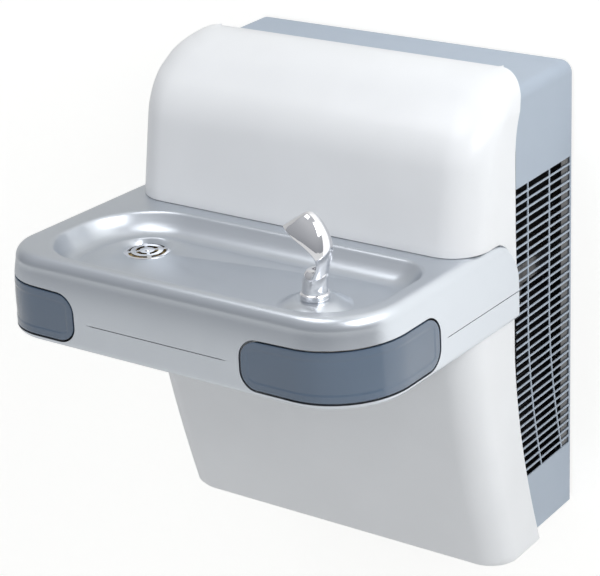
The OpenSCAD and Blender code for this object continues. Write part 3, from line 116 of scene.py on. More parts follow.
class Graph:
    """A material's or world's node tree, with short calls to add and join nodes."""

    def __init__(self, tree: bpy.types.NodeTree) -> None:
        """Empties the tree.

        Args:
            tree: the node tree to fill.
        """
        self.tree = tree
        tree.nodes.clear()

    def add(self, kind: str, inputs: dict | None = None, **settings: object) -> bpy.types.Node:
        """Adds a node.

        Args:
            kind: the node's type name, without the prefix ShaderNode.
            inputs: socket name or number to a value, or to another node's output socket.
            settings: attributes of the node.

        Returns:
            The node.
        """
        node = self.tree.nodes.new("ShaderNode" + kind)
        for key, value in settings.items():
            setattr(node, key, value)
        for key, value in (inputs or {}).items():
            if isinstance(value, Socket):
                self.tree.links.new(value, node.inputs[key])
            else:
                node.inputs[key].default_value = value
        return node

    def noise(self, where: Socket, size: float, detail: float = 3.0) -> Socket:
        """Adds cloud noise whose lumps are about a given size, in metres.

        Args:
            where: the coordinates' socket.
            size: size of a lump.
            detail: octaves of finer lumps.

        Returns:
            The grey value's socket.
        """
        return self.add("TexNoise", {"Vector": where, "Scale": 1.0 / size, "Detail": detail}).outputs[0]

    def spread(self, value: Socket, low: float, high: float) -> Socket:
        """Maps a noise value round its middle to a range.

        Args:
            value: the grey value.
            low: result where the noise is dark.
            high: result where the noise is light.

        Returns:
            The mapped value's socket.
        """
        return self.add("MapRange", {"Value": value, 1: DARK, 2: LIGHT, 3: low, 4: high}).outputs[0]

    def tint(self, share: Socket, first: tuple, second: tuple) -> Socket:
        """Blends two colours.

        Args:
            share: how much of the second colour shows.
            first: red, green and blue of the first colour.
            second: red, green and blue of the second colour.

        Returns:
            The colour's socket.
        """
        mix = self.add("Mix", {0: share, 6: (*first, 1.0), 7: (*second, 1.0)}, data_type="RGBA")
        return mix.outputs[2]


def shade(colour: tuple, factor: float) -> tuple:
    """Returns a colour made lighter or darker, capped at white."""
    return tuple(min(1.0, c * factor) for c in colour)


@dataclass(frozen=True)
class Finish:
    """A surface: one colour with slow clouds in it, and fine relief of a real size."""

    name: str
    colour: tuple
    roughness: float
    metallic: float = 0.0
    coat: float = 0.0
    cloud_size: float = 0.12
    cloud_share: float = 0.02
    relief_size: float = 0.0012
    relief_depth: float = 0.00002
    roughness_spread: float = 0.03
    least_roughness: float = 0.02
    coat_roughness: float = 0.08

    def colour_nodes(self, graph: Graph, where: Socket) -> Socket:
        """Slow clouds in the colour.

        Args:
            graph: the material's graph.
            where: the coordinates.

        Returns:
            The colour's socket.
        """
        clouds = graph.spread(graph.noise(where, self.cloud_size, 2.0), 0.0, 1.0)
        dark, light = shade(self.colour, 1.0 - self.cloud_share), shade(self.colour, 1.0 + self.cloud_share)
        return graph.tint(clouds, dark, light)

    def height_nodes(self, graph: Graph, where: Socket) -> Socket:
        """Fine relief.

        Args:
            graph: the material's graph.
            where: the coordinates.

        Returns:
            The height's socket, from 0 to 1.
        """
        return graph.noise(where, self.relief_size, 2.0)

    def build(self) -> bpy.types.Material:
        """Makes the whole material.

        Returns:
            The material.
        """
        material = bpy.data.materials.new(self.name)
        material.use_nodes = True
        material.diffuse_color = (*self.colour, 1.0)
        graph = Graph(material.node_tree)
        coat = {"Coat Weight": self.coat, "Coat Roughness": self.coat_roughness}
        shader = graph.add("BsdfPrincipled", {"Metallic": self.metallic, **coat})
        graph.add("OutputMaterial", {"Surface": shader.outputs[0]})
        where = graph.add("TexCoord").outputs["Object"]
        links = graph.tree.links
        links.new(self.colour_nodes(graph, where), shader.inputs["Base Color"])
        rough = graph.spread(
            graph.noise(where, self.cloud_size * 0.3, 4.0),
            max(self.least_roughness, self.roughness - self.roughness_spread),
            self.roughness + self.roughness_spread,
        )
        links.new(rough, shader.inputs["Roughness"])
        height = self.height_nodes(graph, where)
        bump = graph.add("Bump", {"Height": height, "Distance": self.relief_depth, "Strength": 1.0})
        links.new(bump.outputs[0], shader.inputs["Normal"])
        return material


@dataclass(frozen=True)
class SpangledSheet(Finish):
    """Galvanised sheet: zinc crystals of slightly different greys."""

    spangle_size: float = 0.006

    def colour_nodes(self, graph: Graph, where: Socket) -> Socket:
        """Crystal cells, each with its own grey.

        Args:
            graph: the material's graph.
            where: the coordinates.

        Returns:
            The colour's socket.
        """
        cells = graph.add("TexVoronoi", {"Vector": where, "Scale": 1.0 / self.spangle_size})
        grey = graph.add("RGBToBW", {0: cells.outputs["Color"]}).outputs[0]
        return graph.tint(grey, shade(self.colour, 0.82), shade(self.colour, 1.12))


@dataclass(frozen=True)
class DrawnTube(Finish):
    """Drawn or brushed metal: streaks along one axis."""

    stretch: tuple = (1.0, 1.0, 0.05)

    def height_nodes(self, graph: Graph, where: Socket) -> Socket:
        """Noise stretched along one axis.

        Args:
            graph: the material's graph.
            where: the coordinates.

        Returns:
            The height's socket.
        """
        pulled = graph.add("Mapping", {"Vector": where, "Scale": self.stretch})
        return graph.noise(pulled.outputs[0], self.relief_size, 4.0)


@dataclass(frozen=True)
class CellFoam(Finish):
    """Rigid foam: open cells as small pits."""

    cell_size: float = 0.0018

    def height_nodes(self, graph: Graph, where: Socket) -> Socket:
        """Distance to the nearest cell's centre.

        Args:
            graph: the material's graph.
            where: the coordinates.

        Returns:
            The height's socket.
        """
        cells = graph.add("TexVoronoi", {"Vector": where, "Scale": 1.0 / self.cell_size})
        return cells.outputs["Distance"]


FINISHES: dict[Slot, Finish] = {
    Slot.WHITE_SHELL: Finish(
        "white_moulding", (0.84, 0.855, 0.87), 0.32, coat=0.12, relief_size=0.0016, roughness_spread=0.01
    ),
    Slot.SATIN_STEEL: DrawnTube(
        "satin_steel", (0.60, 0.635, 0.68), 0.32, metallic=0.95, cloud_share=0.01, roughness_spread=0.02,
        relief_depth=0.000004, stretch=(0.06, 1.0, 1.0)
    ),
    Slot.CABINET_STEEL: Finish(
        "cabinet_powder_coat", (0.41, 0.475, 0.555), 0.48, relief_size=0.0009, relief_depth=0.00006
    ),
    Slot.PAD_GREY: Finish("pad_moulding", (0.10, 0.145, 0.21), 0.14, coat=0.6, cloud_share=0.05),
    Slot.POLISHED_STEEL: Finish(
        "polished_plating", (0.83, 0.83, 0.85), 0.06, metallic=1.0, relief_depth=0.000004,
        relief_size=0.004, roughness_spread=0.02
    ),
    Slot.ZINC_STEEL: SpangledSheet("galvanised_sheet", (0.48, 0.50, 0.52), 0.36, metallic=0.85),
    Slot.BRASS: DrawnTube("turned_brass", (0.72, 0.53, 0.25), 0.26, metallic=1.0),
    Slot.BLACK_RUBBER: Finish("black_rubber", (0.025, 0.025, 0.026), 0.72, relief_depth=0.00005),
    Slot.BLACK_PLASTIC: Finish("black_moulding", (0.035, 0.035, 0.04), 0.45, relief_depth=0.00004),
    Slot.TANK_STEEL: DrawnTube("brushed_tank", (0.62, 0.62, 0.63), 0.3, metallic=1.0),
    Slot.FOAM: CellFoam("rigid_foam", (0.78, 0.70, 0.50), 0.85, relief_depth=0.0004),
    # Black enamel of the cabinet's black parts; the record also gives it to the back frame and basin
    # supports as painted shade inside the cabinet
    Slot.BLACK_STEEL: Finish("black_enamel", (0.018, 0.018, 0.02), 0.28, coat=0.3),
    Slot.FIN_ALUMINIUM: DrawnTube("mill_aluminium", (0.66, 0.67, 0.68), 0.34, metallic=1.0),
    Slot.COPPER: DrawnTube("drawn_copper", (0.70, 0.36, 0.21), 0.3, metallic=1.0),
}


# Surfaces on grids


def spline(points: np.ndarray, count: int) -> np.ndarray:
    """Samples a smooth curve through points.

    Formula: between two points, the cubic whose slope at each is half the step between its
    neighbours (a Catmull-Rom spline), with the end points doubled.

    Args:
        points: n points, as an n by k array.
        count: number of samples.

    Returns:
        The samples, as a count by k array.
    """
    p = np.asarray(points, float)
    n = len(p) - 1
    t = np.linspace(0.0, n, count)
    i = np.minimum(t.astype(int), n - 1)
    f = (t - i)[:, None]
    a, b = p[np.maximum(i - 1, 0)], p[i]
    c, d = p[i + 1], p[np.minimum(i + 2, n)]
    return b + 0.5 * f * ((c - a) + f * ((2 * a - 5 * b + 4 * c - d) + f * (3 * (b - c) + d - a)))


def corner_blend(
    first: np.ndarray, corner: np.ndarray, last: np.ndarray, shares: tuple, count: int
) -> np.ndarray:
    """Rounds the corner between two straight lines.

    Formula: a quadratic Bezier curve whose ends lie at given shares of the two lines, counted
    from the corner.

    Args:
        first: a point on the first line.
        corner: where the lines meet.
        last: a point on the second line.
        shares: the two shares.
        count: number of samples.

    Returns:
        The samples, as a count by 2 array.
    """
    start, end = corner + (first - corner) * shares[0], corner + (last - corner) * shares[1]
    t = np.linspace(0.0, 1.0, count)[:, None]
    return start * (1 - t) ** 2 + corner * 2 * t * (1 - t) + end * t**2


def round_loop(box: np.ndarray, radii: np.ndarray, arc: int, straight: int) -> np.ndarray:
    """Outlines of boxes with four round corners, anticlockwise from the rear left corner's end.

    Formula: for each corner, centre plus radius times (cosine, sine) over its quarter turn; the
    next side is shared out evenly between two corners.

    Args:
        box: rows of (left, right, front, back).
        radii: rows of (front left, front right, back right, back left) radii.
        arc: steps in a quarter turn.
        straight: steps in a side.

    Returns:
        An array of rows by points by (x, y).
    """
    left, right, front, back = (box[:, k, None] for k in range(4))
    quarter = np.linspace(0.0, math.pi / 2, arc + 1)[None, :]
    centres = [
        (left + radii[:, 0:1], front + radii[:, 0:1], math.pi),
        (right - radii[:, 1:2], front + radii[:, 1:2], 1.5 * math.pi),
        (right - radii[:, 2:3], back - radii[:, 2:3], 0.0),
        (left + radii[:, 3:4], back - radii[:, 3:4], 0.5 * math.pi),
    ]
    arcs = []
    for k, (cx, cy, start) in enumerate(centres):
        r = radii[:, k : k + 1]
        arcs.append(np.stack([cx + r * np.cos(start + quarter), cy + r * np.sin(start + quarter)], -1))
    share = np.linspace(0.0, 1.0, straight + 1)[1:-1][None, :, None]
    loop = []
    for k, piece in enumerate(arcs):
        following = arcs[(k + 1) % 4]
        loop.append(piece)
        loop.append(piece[:, -1:] * (1 - share) + following[:, :1] * share)
    return np.concatenate(loop, axis=1)


def open_outline(
    half: np.ndarray, front: np.ndarray, back: np.ndarray, radius: np.ndarray, steps: tuple
) -> np.ndarray:
    """Outlines open at the back: rear left, round the front, to rear right.

    Formula: straight side, quarter turn, straight front, quarter turn, straight side; the radius
    is no more than the side's length.

    Args:
        half: half width of each row.
        front: y of each row's front.
        back: y of each row's rear ends.
        radius: corner radius of each row.
        steps: steps in a side, in a quarter turn and in the front.

    Returns:
        An array of rows by points by (x, y).
    """
    side, arc, face = steps
    half, front, back = half[:, None], front[:, None], back[:, None]
    r = np.minimum(radius[:, None], back - front - LEAST_SIDE)
    turn = np.linspace(0.0, math.pi / 2, arc + 1)[None, :]
    down = np.linspace(0.0, 1.0, side + 1)[None, :-1]
    left_side = np.stack([-half + 0 * down, back + (front + r - back) * down], -1)
    left_turn = np.stack([-half + r - r * np.cos(turn), front + r - r * np.sin(turn)], -1)
    across = np.linspace(-1.0, 1.0, face + 1)[None, 1:-1]
    middle = np.stack([(half - r) * across, front + 0 * across], -1)
    left = np.concatenate([left_side, left_turn], 1)
    right = left[:, ::-1] * np.array([-1.0, 1.0])
    return np.concatenate([left, middle, right], 1)


def lifted(outline: np.ndarray, height: np.ndarray) -> np.ndarray:
    """Gives each row of an outline its height, as (x, y, z) points."""
    z = np.broadcast_to(height[:, None, None], (*outline.shape[:2], 1))
    return np.concatenate([outline, z], -1)


def grid_faces(rows: int, points: int, closed: bool) -> np.ndarray:
    """Four-sided faces of a grid whose points run anticlockwise and whose rows run up.

    Args:
        rows: number of rows.
        points: points in a row.
        closed: whether the last point joins the first.

    Returns:
        An array of faces by four vertex numbers.
    """
    j = np.arange(points if closed else points - 1)
    i = np.arange(rows - 1)[:, None]
    k = (j + 1) % points
    low, high = i * points, (i + 1) * points
    return np.stack([low + j, low + k, high + k, high + j], -1).reshape(-1, 4)


def mesh_object(name: str, points: np.ndarray, faces: list) -> Piece:
    """Makes a smooth mesh object at the origin.

    Args:
        name: the object's name.
        points: vertices, as an n by 3 array.
        faces: lists of vertex numbers.

    Returns:
        The object, linked to the scene.
    """
    mesh = bpy.data.meshes.new(name)
    mesh.from_pydata(points.reshape(-1, 3).tolist(), [], faces)
    mesh.polygons.foreach_set("use_smooth", np.ones(len(mesh.polygons), bool))
    mesh.update()
    piece = bpy.data.objects.new(name, mesh)
    bpy.context.scene.collection.objects.link(piece)
    return piece


def grid_object(
    name: str, grid: np.ndarray, closed: bool = False, caps: tuple = (False, False)
) -> Piece:
    """Makes a mesh from a grid of points.

    Args:
        name: the object's name.
        grid: rows by points by 3.
        closed: whether each row is a loop.
        caps: whether the first and the last row get a face across them.

    Returns:
        The object.
    """
    rows, points = grid.shape[:2]
    faces = grid_faces(rows, points, closed).tolist()
    if caps[0]:
        faces.append(list(range(points))[::-1])
    if caps[1]:
        faces.append(list(range((rows - 1) * points, rows * points)))
    return mesh_object(name, grid, faces)


def finished(
    piece: Piece, wall: float = 0.0, edge: float = 0.0, crease: float = CREASE
) -> Piece:
    """Gives a surface its wall and its eased edges, and applies both.

    Args:
        piece: the object, an open surface whose faces point outwards.
        wall: thickness added on the inside.
        edge: width of the eased edges.
        crease: angle in degrees above which an edge stays crisp.

    Returns:
        The same object with a plain mesh.
    """
    if wall:
        thick = piece.modifiers.new("wall", "SOLIDIFY")
        thick.thickness, thick.offset, thick.use_even_offset = wall, -1.0, True
        thick.use_quality_normals = True
    if edge:
        ease = piece.modifiers.new("eased_edges", "BEVEL")
        ease.width, ease.segments, ease.limit_method = edge, 2, "ANGLE"
        ease.angle_limit = math.radians(EASED)
    settle(piece)
    piece.data.set_sharp_from_angle(angle=math.radians(crease))
    return piece


def settle(piece: Piece) -> None:
    """Replaces an object's mesh by what its modifiers make of it, and removes them.

    Args:
        piece: the object.
    """
    bpy.context.view_layer.update()
    result = piece.evaluated_get(bpy.context.evaluated_depsgraph_get())
    mesh = bpy.data.meshes.new_from_object(result)
    piece.modifiers.clear()
    piece.data = mesh


def carve(piece: Piece, cutters: list[Piece]) -> None:
    """Cuts closed solids out of a piece and removes the solids.

    Args:
        piece: the object to cut.
        cutters: the objects to cut with.
    """
    for cutter in cutters:
        cut = piece.modifiers.new("cut", "BOOLEAN")
        cut.object, cut.operation, cut.solver = cutter, "DIFFERENCE", "MANIFOLD"
        settle(piece)
        bpy.data.objects.remove(cutter)


def prism_along_x(name: str, outline: np.ndarray) -> Piece:
    """A closed prism past both ends of the part, drawn in (y, z), anticlockwise seen from +X.

    Args:
        name: the object's name.
        outline: n points as (y, z).

    Returns:
        The object.
    """
    ends = [np.column_stack([np.full(len(outline), x), outline]) for x in (-CUTTER_REACH, CUTTER_REACH)]
    return grid_object(name, np.stack(ends), closed=True, caps=(True, True))


def lathe(name: str, profile: np.ndarray, centre: tuple, steps: int) -> Piece:
    """Turns a profile about a vertical axis.

    Formula: each profile point (r, z) becomes the circle r (cos a, sin a) at height z.

    Args:
        name: the object's name.
        profile: n points as (radius, height), upwards on the outside, with both ends on the axis
            or closed by caps.
        centre: x, y and z of the profile's origin.
        steps: steps in a turn.

    Returns:
        The object.
    """
    turn = np.linspace(0.0, 2 * math.pi, steps, endpoint=False)
    r, z = profile[:, :1], profile[:, 1:]
    grid = np.stack([r * np.cos(turn), r * np.sin(turn), z + 0 * turn], -1) + np.array(centre)
    return grid_object(name, grid, closed=True, caps=(True, True))


def place(piece: Piece, body: str, slot: Slot, *nodes: str) -> None:
    """Rides a piece on its body, gives it its finish and hides the solids that it stands for.

    Args:
        piece: the object.
        body: name of the body.
        slot: the record's material slot.
        nodes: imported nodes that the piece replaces.
    """
    piece.data.materials.clear()
    piece.data.materials.append(material_for(slot))
    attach(piece, body)
    if nodes:
        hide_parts(*nodes)
    LOG.info("%s: %d faces", piece.name, len(piece.data.polygons))


MATERIALS: dict[Slot, bpy.types.Material] = {}


def material_for(slot: Slot) -> bpy.types.Material:
    """Makes a slot's material when it is first asked for.

    Args:
        slot: the record's material slot.

    Returns:
        The material.
    """
    if slot not in MATERIALS:
        MATERIALS[slot] = FINISHES[slot].build()
    return MATERIALS[slot]


# The water cooler


@dataclass
class SideProfile:
    """The side view that the moulded shells share."""

    cabinet_height: float = 568 * MM
    edge_reach: float = 158 * MM
    tuck_drop: float = 292 * MM
    tuck: float = 61 * MM
    head_drop: float = 75 * MM
    head: float = 40 * MM
    bulge: float = 11 * MM
    bulge_height: float = 60 * MM
    foot_drop: float = 577 * MM
    crown_rise: float = 22 * MM
    front: float = 260 * MM
    front_tuck: float = 71 * MM
    front_tuck_drop: float = 270 * MM
    deck_drop: float = 156 * MM
    seam_drop: float = 222 * MM
    apron_drop: float = 257 * MM
    cheek: float = 203 * MM
    back: float = 159 * MM

    def up(self, drop: np.ndarray | float) -> np.ndarray | float:
        """Height of a place at a drop below the cabinet's top."""
        return self.cabinet_height / 2 - drop

    def edge(self, drop: np.ndarray) -> np.ndarray:
        """The y of the shells' rear edge at a drop.

        Formula: a straight line that leans back towards the wall as a power curve at its head and
        at its foot, with one raised cosine hump beside the basin's end.

        Args:
            drop: depths below the cabinet's top.

        Returns:
            The y of the edge at each.
        """
        drop = np.asarray(drop, float)
        above = np.maximum(0, self.head_drop - drop) / (self.head_drop + self.crown_rise)
        below = np.maximum(0, drop - self.tuck_drop) / (self.foot_drop - self.tuck_drop)
        head, foot = self.head * above**2.6, self.tuck * below**1.7
        off = (drop - self.seam_drop) / self.bulge_height
        hump = np.where(np.abs(off) < 0.5, self.bulge * 0.5 * (1 + np.cos(2 * math.pi * off)), 0.0)
        return -self.edge_reach + head + foot + hump

    def panel(self, drop: np.ndarray) -> np.ndarray:
        """The y of the lower panel's front at a drop: straight, then a power curve to the wall."""
        run = np.maximum(0, drop - self.front_tuck_drop) / (self.foot_drop - self.front_tuck_drop)
        return -self.front + self.front_tuck * run**1.4

    def cheek_curve(self, behind: float, above: float) -> list:
        """The basin's upper rear edge seen from the side.

        Formula: a quarter of an ellipse from the deck back and down to the seam.

        Args:
            behind: clearance at the basin's back.
            above: clearance over its deck.

        Returns:
            Points (y, z) from the deck to the seam.
        """
        turn = np.linspace(0, math.pi / 2, 25)
        y = -self.cheek + (self.cheek - self.back + behind) * np.sin(turn)
        drop = self.deck_drop - above + (self.seam_drop - self.deck_drop) * (1 - np.cos(turn))
        return list(zip(y, self.up(drop)))

    def cheek_outline(self, gap: float, foot: float) -> np.ndarray:
        """Outline in (y, z) of the space that basin and apron take up beside the shroud.

        Formula: the cheek's curve, then straight down to a drop and forwards.

        Args:
            gap: clearance added all round.
            foot: drop of the outline's lower edge.

        Returns:
            Points anticlockwise seen from +X.
        """
        far, sill = -2 * CUTTER_REACH, self.up(foot)
        ends = [(-self.back + gap, sill), (far, sill), (far, self.up(self.deck_drop - gap))]
        return np.array(self.cheek_curve(gap, gap) + ends)[::-1]


PROFILE = SideProfile()


@dataclass
class UpperShroud:
    """The white hood over the basin, with its rolled rim."""

    half: float = 234 * MM
    front: float = 261 * MM
    knee: float = 239 * MM
    knee_drop: float = 34 * MM
    crown: float = 173 * MM
    crown_back: float = 118 * MM
    crown_lift: float = 0.6 * MM
    corner: float = 46 * MM
    top_corner: float = 40 * MM
    wall: float = 3 * MM
    gap: float = 0.6 * MM
    foot_drop: float = 243 * MM
    cabinet_half: float = 220 * MM
    cabinet_corner: float = 14 * MM
    rim_wall: float = 1.6 * MM
    rim_lift: float = 6 * MM
    edge: float = 0.5 * MM

    def path(self) -> np.ndarray:
        """The middle of the hood seen from the side.

        Returns:
            Points as (y, drop), from the foot over the knee and the crown to the back.
        """
        foot = np.array([-self.front, PROFILE.deck_drop])
        knee = np.array([-self.knee, self.knee_drop])
        crown = np.array([-self.crown, self.crown_lift - PROFILE.crown_rise])
        back = np.array([-self.crown_back, -PROFILE.crown_rise])
        low = np.array([[-self.front, self.foot_drop], [-self.front, (self.foot_drop + foot[1]) / 2]])
        front = foot + (knee - foot) * np.linspace(0.0, 0.7, 10)[:, None]
        return np.concatenate([
            low, front,
            corner_blend(foot, knee, crown, (0.25, 0.35), 18),
            corner_blend(knee, crown, back, (0.4, 0.7), 26),
            back[None],
        ])

    def half_width(self, drop: np.ndarray) -> np.ndarray:
        """Half the width at a drop: full, then a quarter circle over the top corner."""
        rise = np.clip(self.top_corner - PROFILE.crown_rise - drop, 0, self.top_corner)
        return self.half - self.top_corner + np.sqrt(self.top_corner**2 - rise**2)

    def shell(self) -> Piece:
        """Level outlines of the hood, one at each point of its side view.

        Returns:
            The hood, cut to the basin's outline.
        """
        path = self.path()
        y, drop = path[:, 0], path[:, 1]
        back = np.maximum(np.minimum(PROFILE.edge(drop), -self.crown_back), y + self.corner / 8)
        radius = np.full(len(y), self.corner)
        grid = lifted(open_outline(self.half_width(drop), y, back, radius, (10, 20, 24)), PROFILE.up(drop))
        piece = grid_object("upper_shroud_shell", grid)
        finished(piece, self.wall)
        outline = PROFILE.cheek_outline(self.gap, 2 * CUTTER_REACH)
        carve(piece, [prism_along_x("cheek_cutter", outline)])
        return finished(piece, edge=self.edge)

    def rim(self) -> Piece:
        """The turned-in strip between the hood's rear edge and the cabinet.

        Formula: a ruled strip from the rear edge's curve (side, quarter circle, top, quarter
        circle, side) to the cabinet's outline with a clearance, sagging by a sine in between.

        Returns:
            The strip, with a wall.
        """
        drops = np.linspace(self.foot_drop - self.rim_lift, self.top_corner - PROFILE.crown_rise, 40)
        turn = np.linspace(0, math.pi / 2, 16)[1:]
        inner_r = self.cabinet_corner + self.gap
        inset = self.wall * 0.6

        def half_curve(half: float, corner: float, top: float) -> np.ndarray:
            """Right half of an outline: side, quarter circle, half the top.

            Args:
                half: half the outline's width.
                corner: radius of the quarter circle.
                top: drop of the top.

            Returns:
                Points (x, drop).
            """
            heights = drops[0] + (top + corner - drops[0]) * np.linspace(0, 1, len(drops))
            side = np.column_stack([np.full(len(drops), half), heights])
            bend_x, bend_drop = half - corner + corner * np.cos(turn), top + corner - corner * np.sin(turn)
            bend = np.column_stack([bend_x, bend_drop])
            flat = np.column_stack([np.linspace(half - corner, 0, 20)[1:], np.full(19, top)])
            return np.concatenate([side, bend, flat])

        outer = half_curve(self.half - inset, self.top_corner - inset, -PROFILE.crown_rise + inset)
        inner = half_curve(self.cabinet_half + self.gap, inner_r, -self.gap)
        rear = np.minimum(PROFILE.edge(outer[:, 1]), -self.crown_back)
        rows = []
        for share in np.linspace(0.0, 1.0, 7):
            line = outer * (1 - share) + inner * share
            y = rear - inset * (1 + math.sin(math.pi * share))
            right = np.column_stack([line[:, 0], y, PROFILE.up(line[:, 1])])
            left = right[::-1][1:] * np.array([-1.0, 1.0, 1.0])
            rows.append(np.concatenate([right, left]))
        piece = grid_object("upper_shroud_rim", np.stack(rows)[::-1])
        return finished(piece, self.rim_wall)

    def build(self) -> None:
        """Makes and places the hood and its rim."""
        place(self.shell(), "root", Slot.WHITE_SHELL, "upper_shroud")
        place(self.rim(), "root", Slot.WHITE_SHELL)


@dataclass
class LowerPanel:
    """The white panel under the basin, tucked in towards its foot."""

    half: float = 232 * MM
    corner: float = 36 * MM
    foot_r: float = 8 * MM
    lip: float = 12 * MM
    wall: float = 3 * MM
    gap: float = 0.3 * MM
    edge: float = 0.5 * MM
    rows: int = 46
    foot_steps: int = 8

    def build(self) -> None:
        """Level outlines from the turned-in lip round the foot and up to the apron."""
        foot = PROFILE.foot_drop
        base = foot - self.foot_r
        y_foot = float(PROFILE.panel(np.array([foot]))[0])
        edge_foot = float(PROFILE.edge(np.array([foot]))[0])
        turn = np.linspace(math.pi / 2, 0, self.foot_steps + 1)[:-1]
        inset = self.foot_r * (1 - np.cos(turn))
        drops = np.linspace(base, PROFILE.apron_drop + self.gap, self.rows)
        full = np.full(self.rows, self.half)
        half = np.concatenate([[self.half - self.foot_r - self.lip], self.half - inset, full])
        front = np.concatenate([[y_foot + self.foot_r + self.lip], y_foot + inset, PROFILE.panel(drops)])
        low = edge_foot - np.concatenate([[self.foot_r], self.foot_r * np.sin(turn)])
        back = np.concatenate([low, PROFILE.edge(drops)])
        height = PROFILE.up(np.concatenate([[foot], base + self.foot_r * np.sin(turn), drops]))
        radius = np.full(len(half), self.corner)
        grid = lifted(open_outline(half, front, back, radius, (14, 18, 30)), height)
        piece = finished(grid_object("lower_panel_shell", grid), self.wall)
        finished(piece, edge=self.edge)
        place(piece, "root", Slot.WHITE_SHELL, "lower_panel")


@dataclass
class BasinPlan:
    """The basin's plan view, from which its skirt, apron and pads take their outlines."""

    reach_right: float = 240 * MM
    reach_left: float = 251 * MM
    front: float = 475 * MM
    back: float = 159 * MM
    corner_right: float = 90 * MM
    corner_left: float = 60 * MM
    draw: float = 0.038
    flare: float = 0.077
    rear_corner: float = 3 * MM
    lean: float = 5 * MM
    rim: float = 12 * MM
    arc: int = 26
    straight: int = 40

    def reach(self, side: Side) -> float:
        """Reach of one side from the middle, at the back."""
        return self.reach_right if side is Side.RIGHT else self.reach_left

    def corner(self, side: Side) -> float:
        """Radius of the front corner on one side."""
        return self.corner_right if side is Side.RIGHT else self.corner_left

    def rim_drop(self) -> float:
        """Drop where the rim starts to round over."""
        return PROFILE.deck_drop + self.rim * 1.3

    def lean_at(self, drop: np.ndarray) -> np.ndarray:
        """How far the skirt stands inside the widest line at a drop.

        Formula: the lean times the square of the share of the way from the seam up to the rim.

        Args:
            drop: depths below the cabinet's top.

        Returns:
            The inset at each.
        """
        share = (PROFILE.seam_drop - drop) / (PROFILE.seam_drop - self.rim_drop())
        return self.lean * np.clip(share, 0, 1) ** 2

    def drawn(self, outline: np.ndarray) -> np.ndarray:
        """Narrows the right side and widens the left one towards the front.

        Formula: x is scaled by one plus a share that grows in proportion to the distance in front
        of the back, less than zero on the right and more than zero on the left.

        Args:
            outline: points (x, y).

        Returns:
            The moved points.
        """
        x, y = outline[..., 0], outline[..., 1]
        run = (-self.back - y) / (self.front - self.back)
        return np.stack([x * (1 + np.where(x > 0, -self.draw, self.flare) * run), y], -1)

    def loop(self, inset: np.ndarray) -> np.ndarray:
        """Outlines at insets from the basin's edge.

        Args:
            inset: distance inside the edge, one per row.

        Returns:
            Rows by points by (x, y).
        """
        box = np.stack([
            inset - self.reach_left, self.reach_right - inset, inset - self.front, -self.back - inset * 0.1,
        ], -1)
        ends = np.full_like(inset, self.rear_corner)
        radii = np.stack([self.corner_left - inset, self.corner_right - inset, ends, ends], -1)
        return self.drawn(round_loop(box, radii, self.arc, self.straight))

    def along_edge(self, side: Side, run: np.ndarray, inset: np.ndarray) -> np.ndarray:
        """Points at a run along one half of the edge.

        Formula: the run starts at the middle of the front, follows it to the corner, turns a
        quarter circle and goes back along the side.

        Args:
            side: which half.
            run: distance along the edge.
            inset: distance inside the edge.

        Returns:
            Points (x, y).
        """
        corner = self.corner(side)
        flat = self.reach(side) - corner
        angle = np.clip((run - flat) / corner, 0, math.pi / 2)
        r = corner - inset
        x = np.where(run < flat, run, flat + r * np.sin(angle))
        y = -self.front + corner - r * np.cos(angle)
        y = y + np.maximum(0, run - flat - corner * math.pi / 2)
        return self.drawn(np.stack([x * side.value, y], -1))


PLAN = BasinPlan()


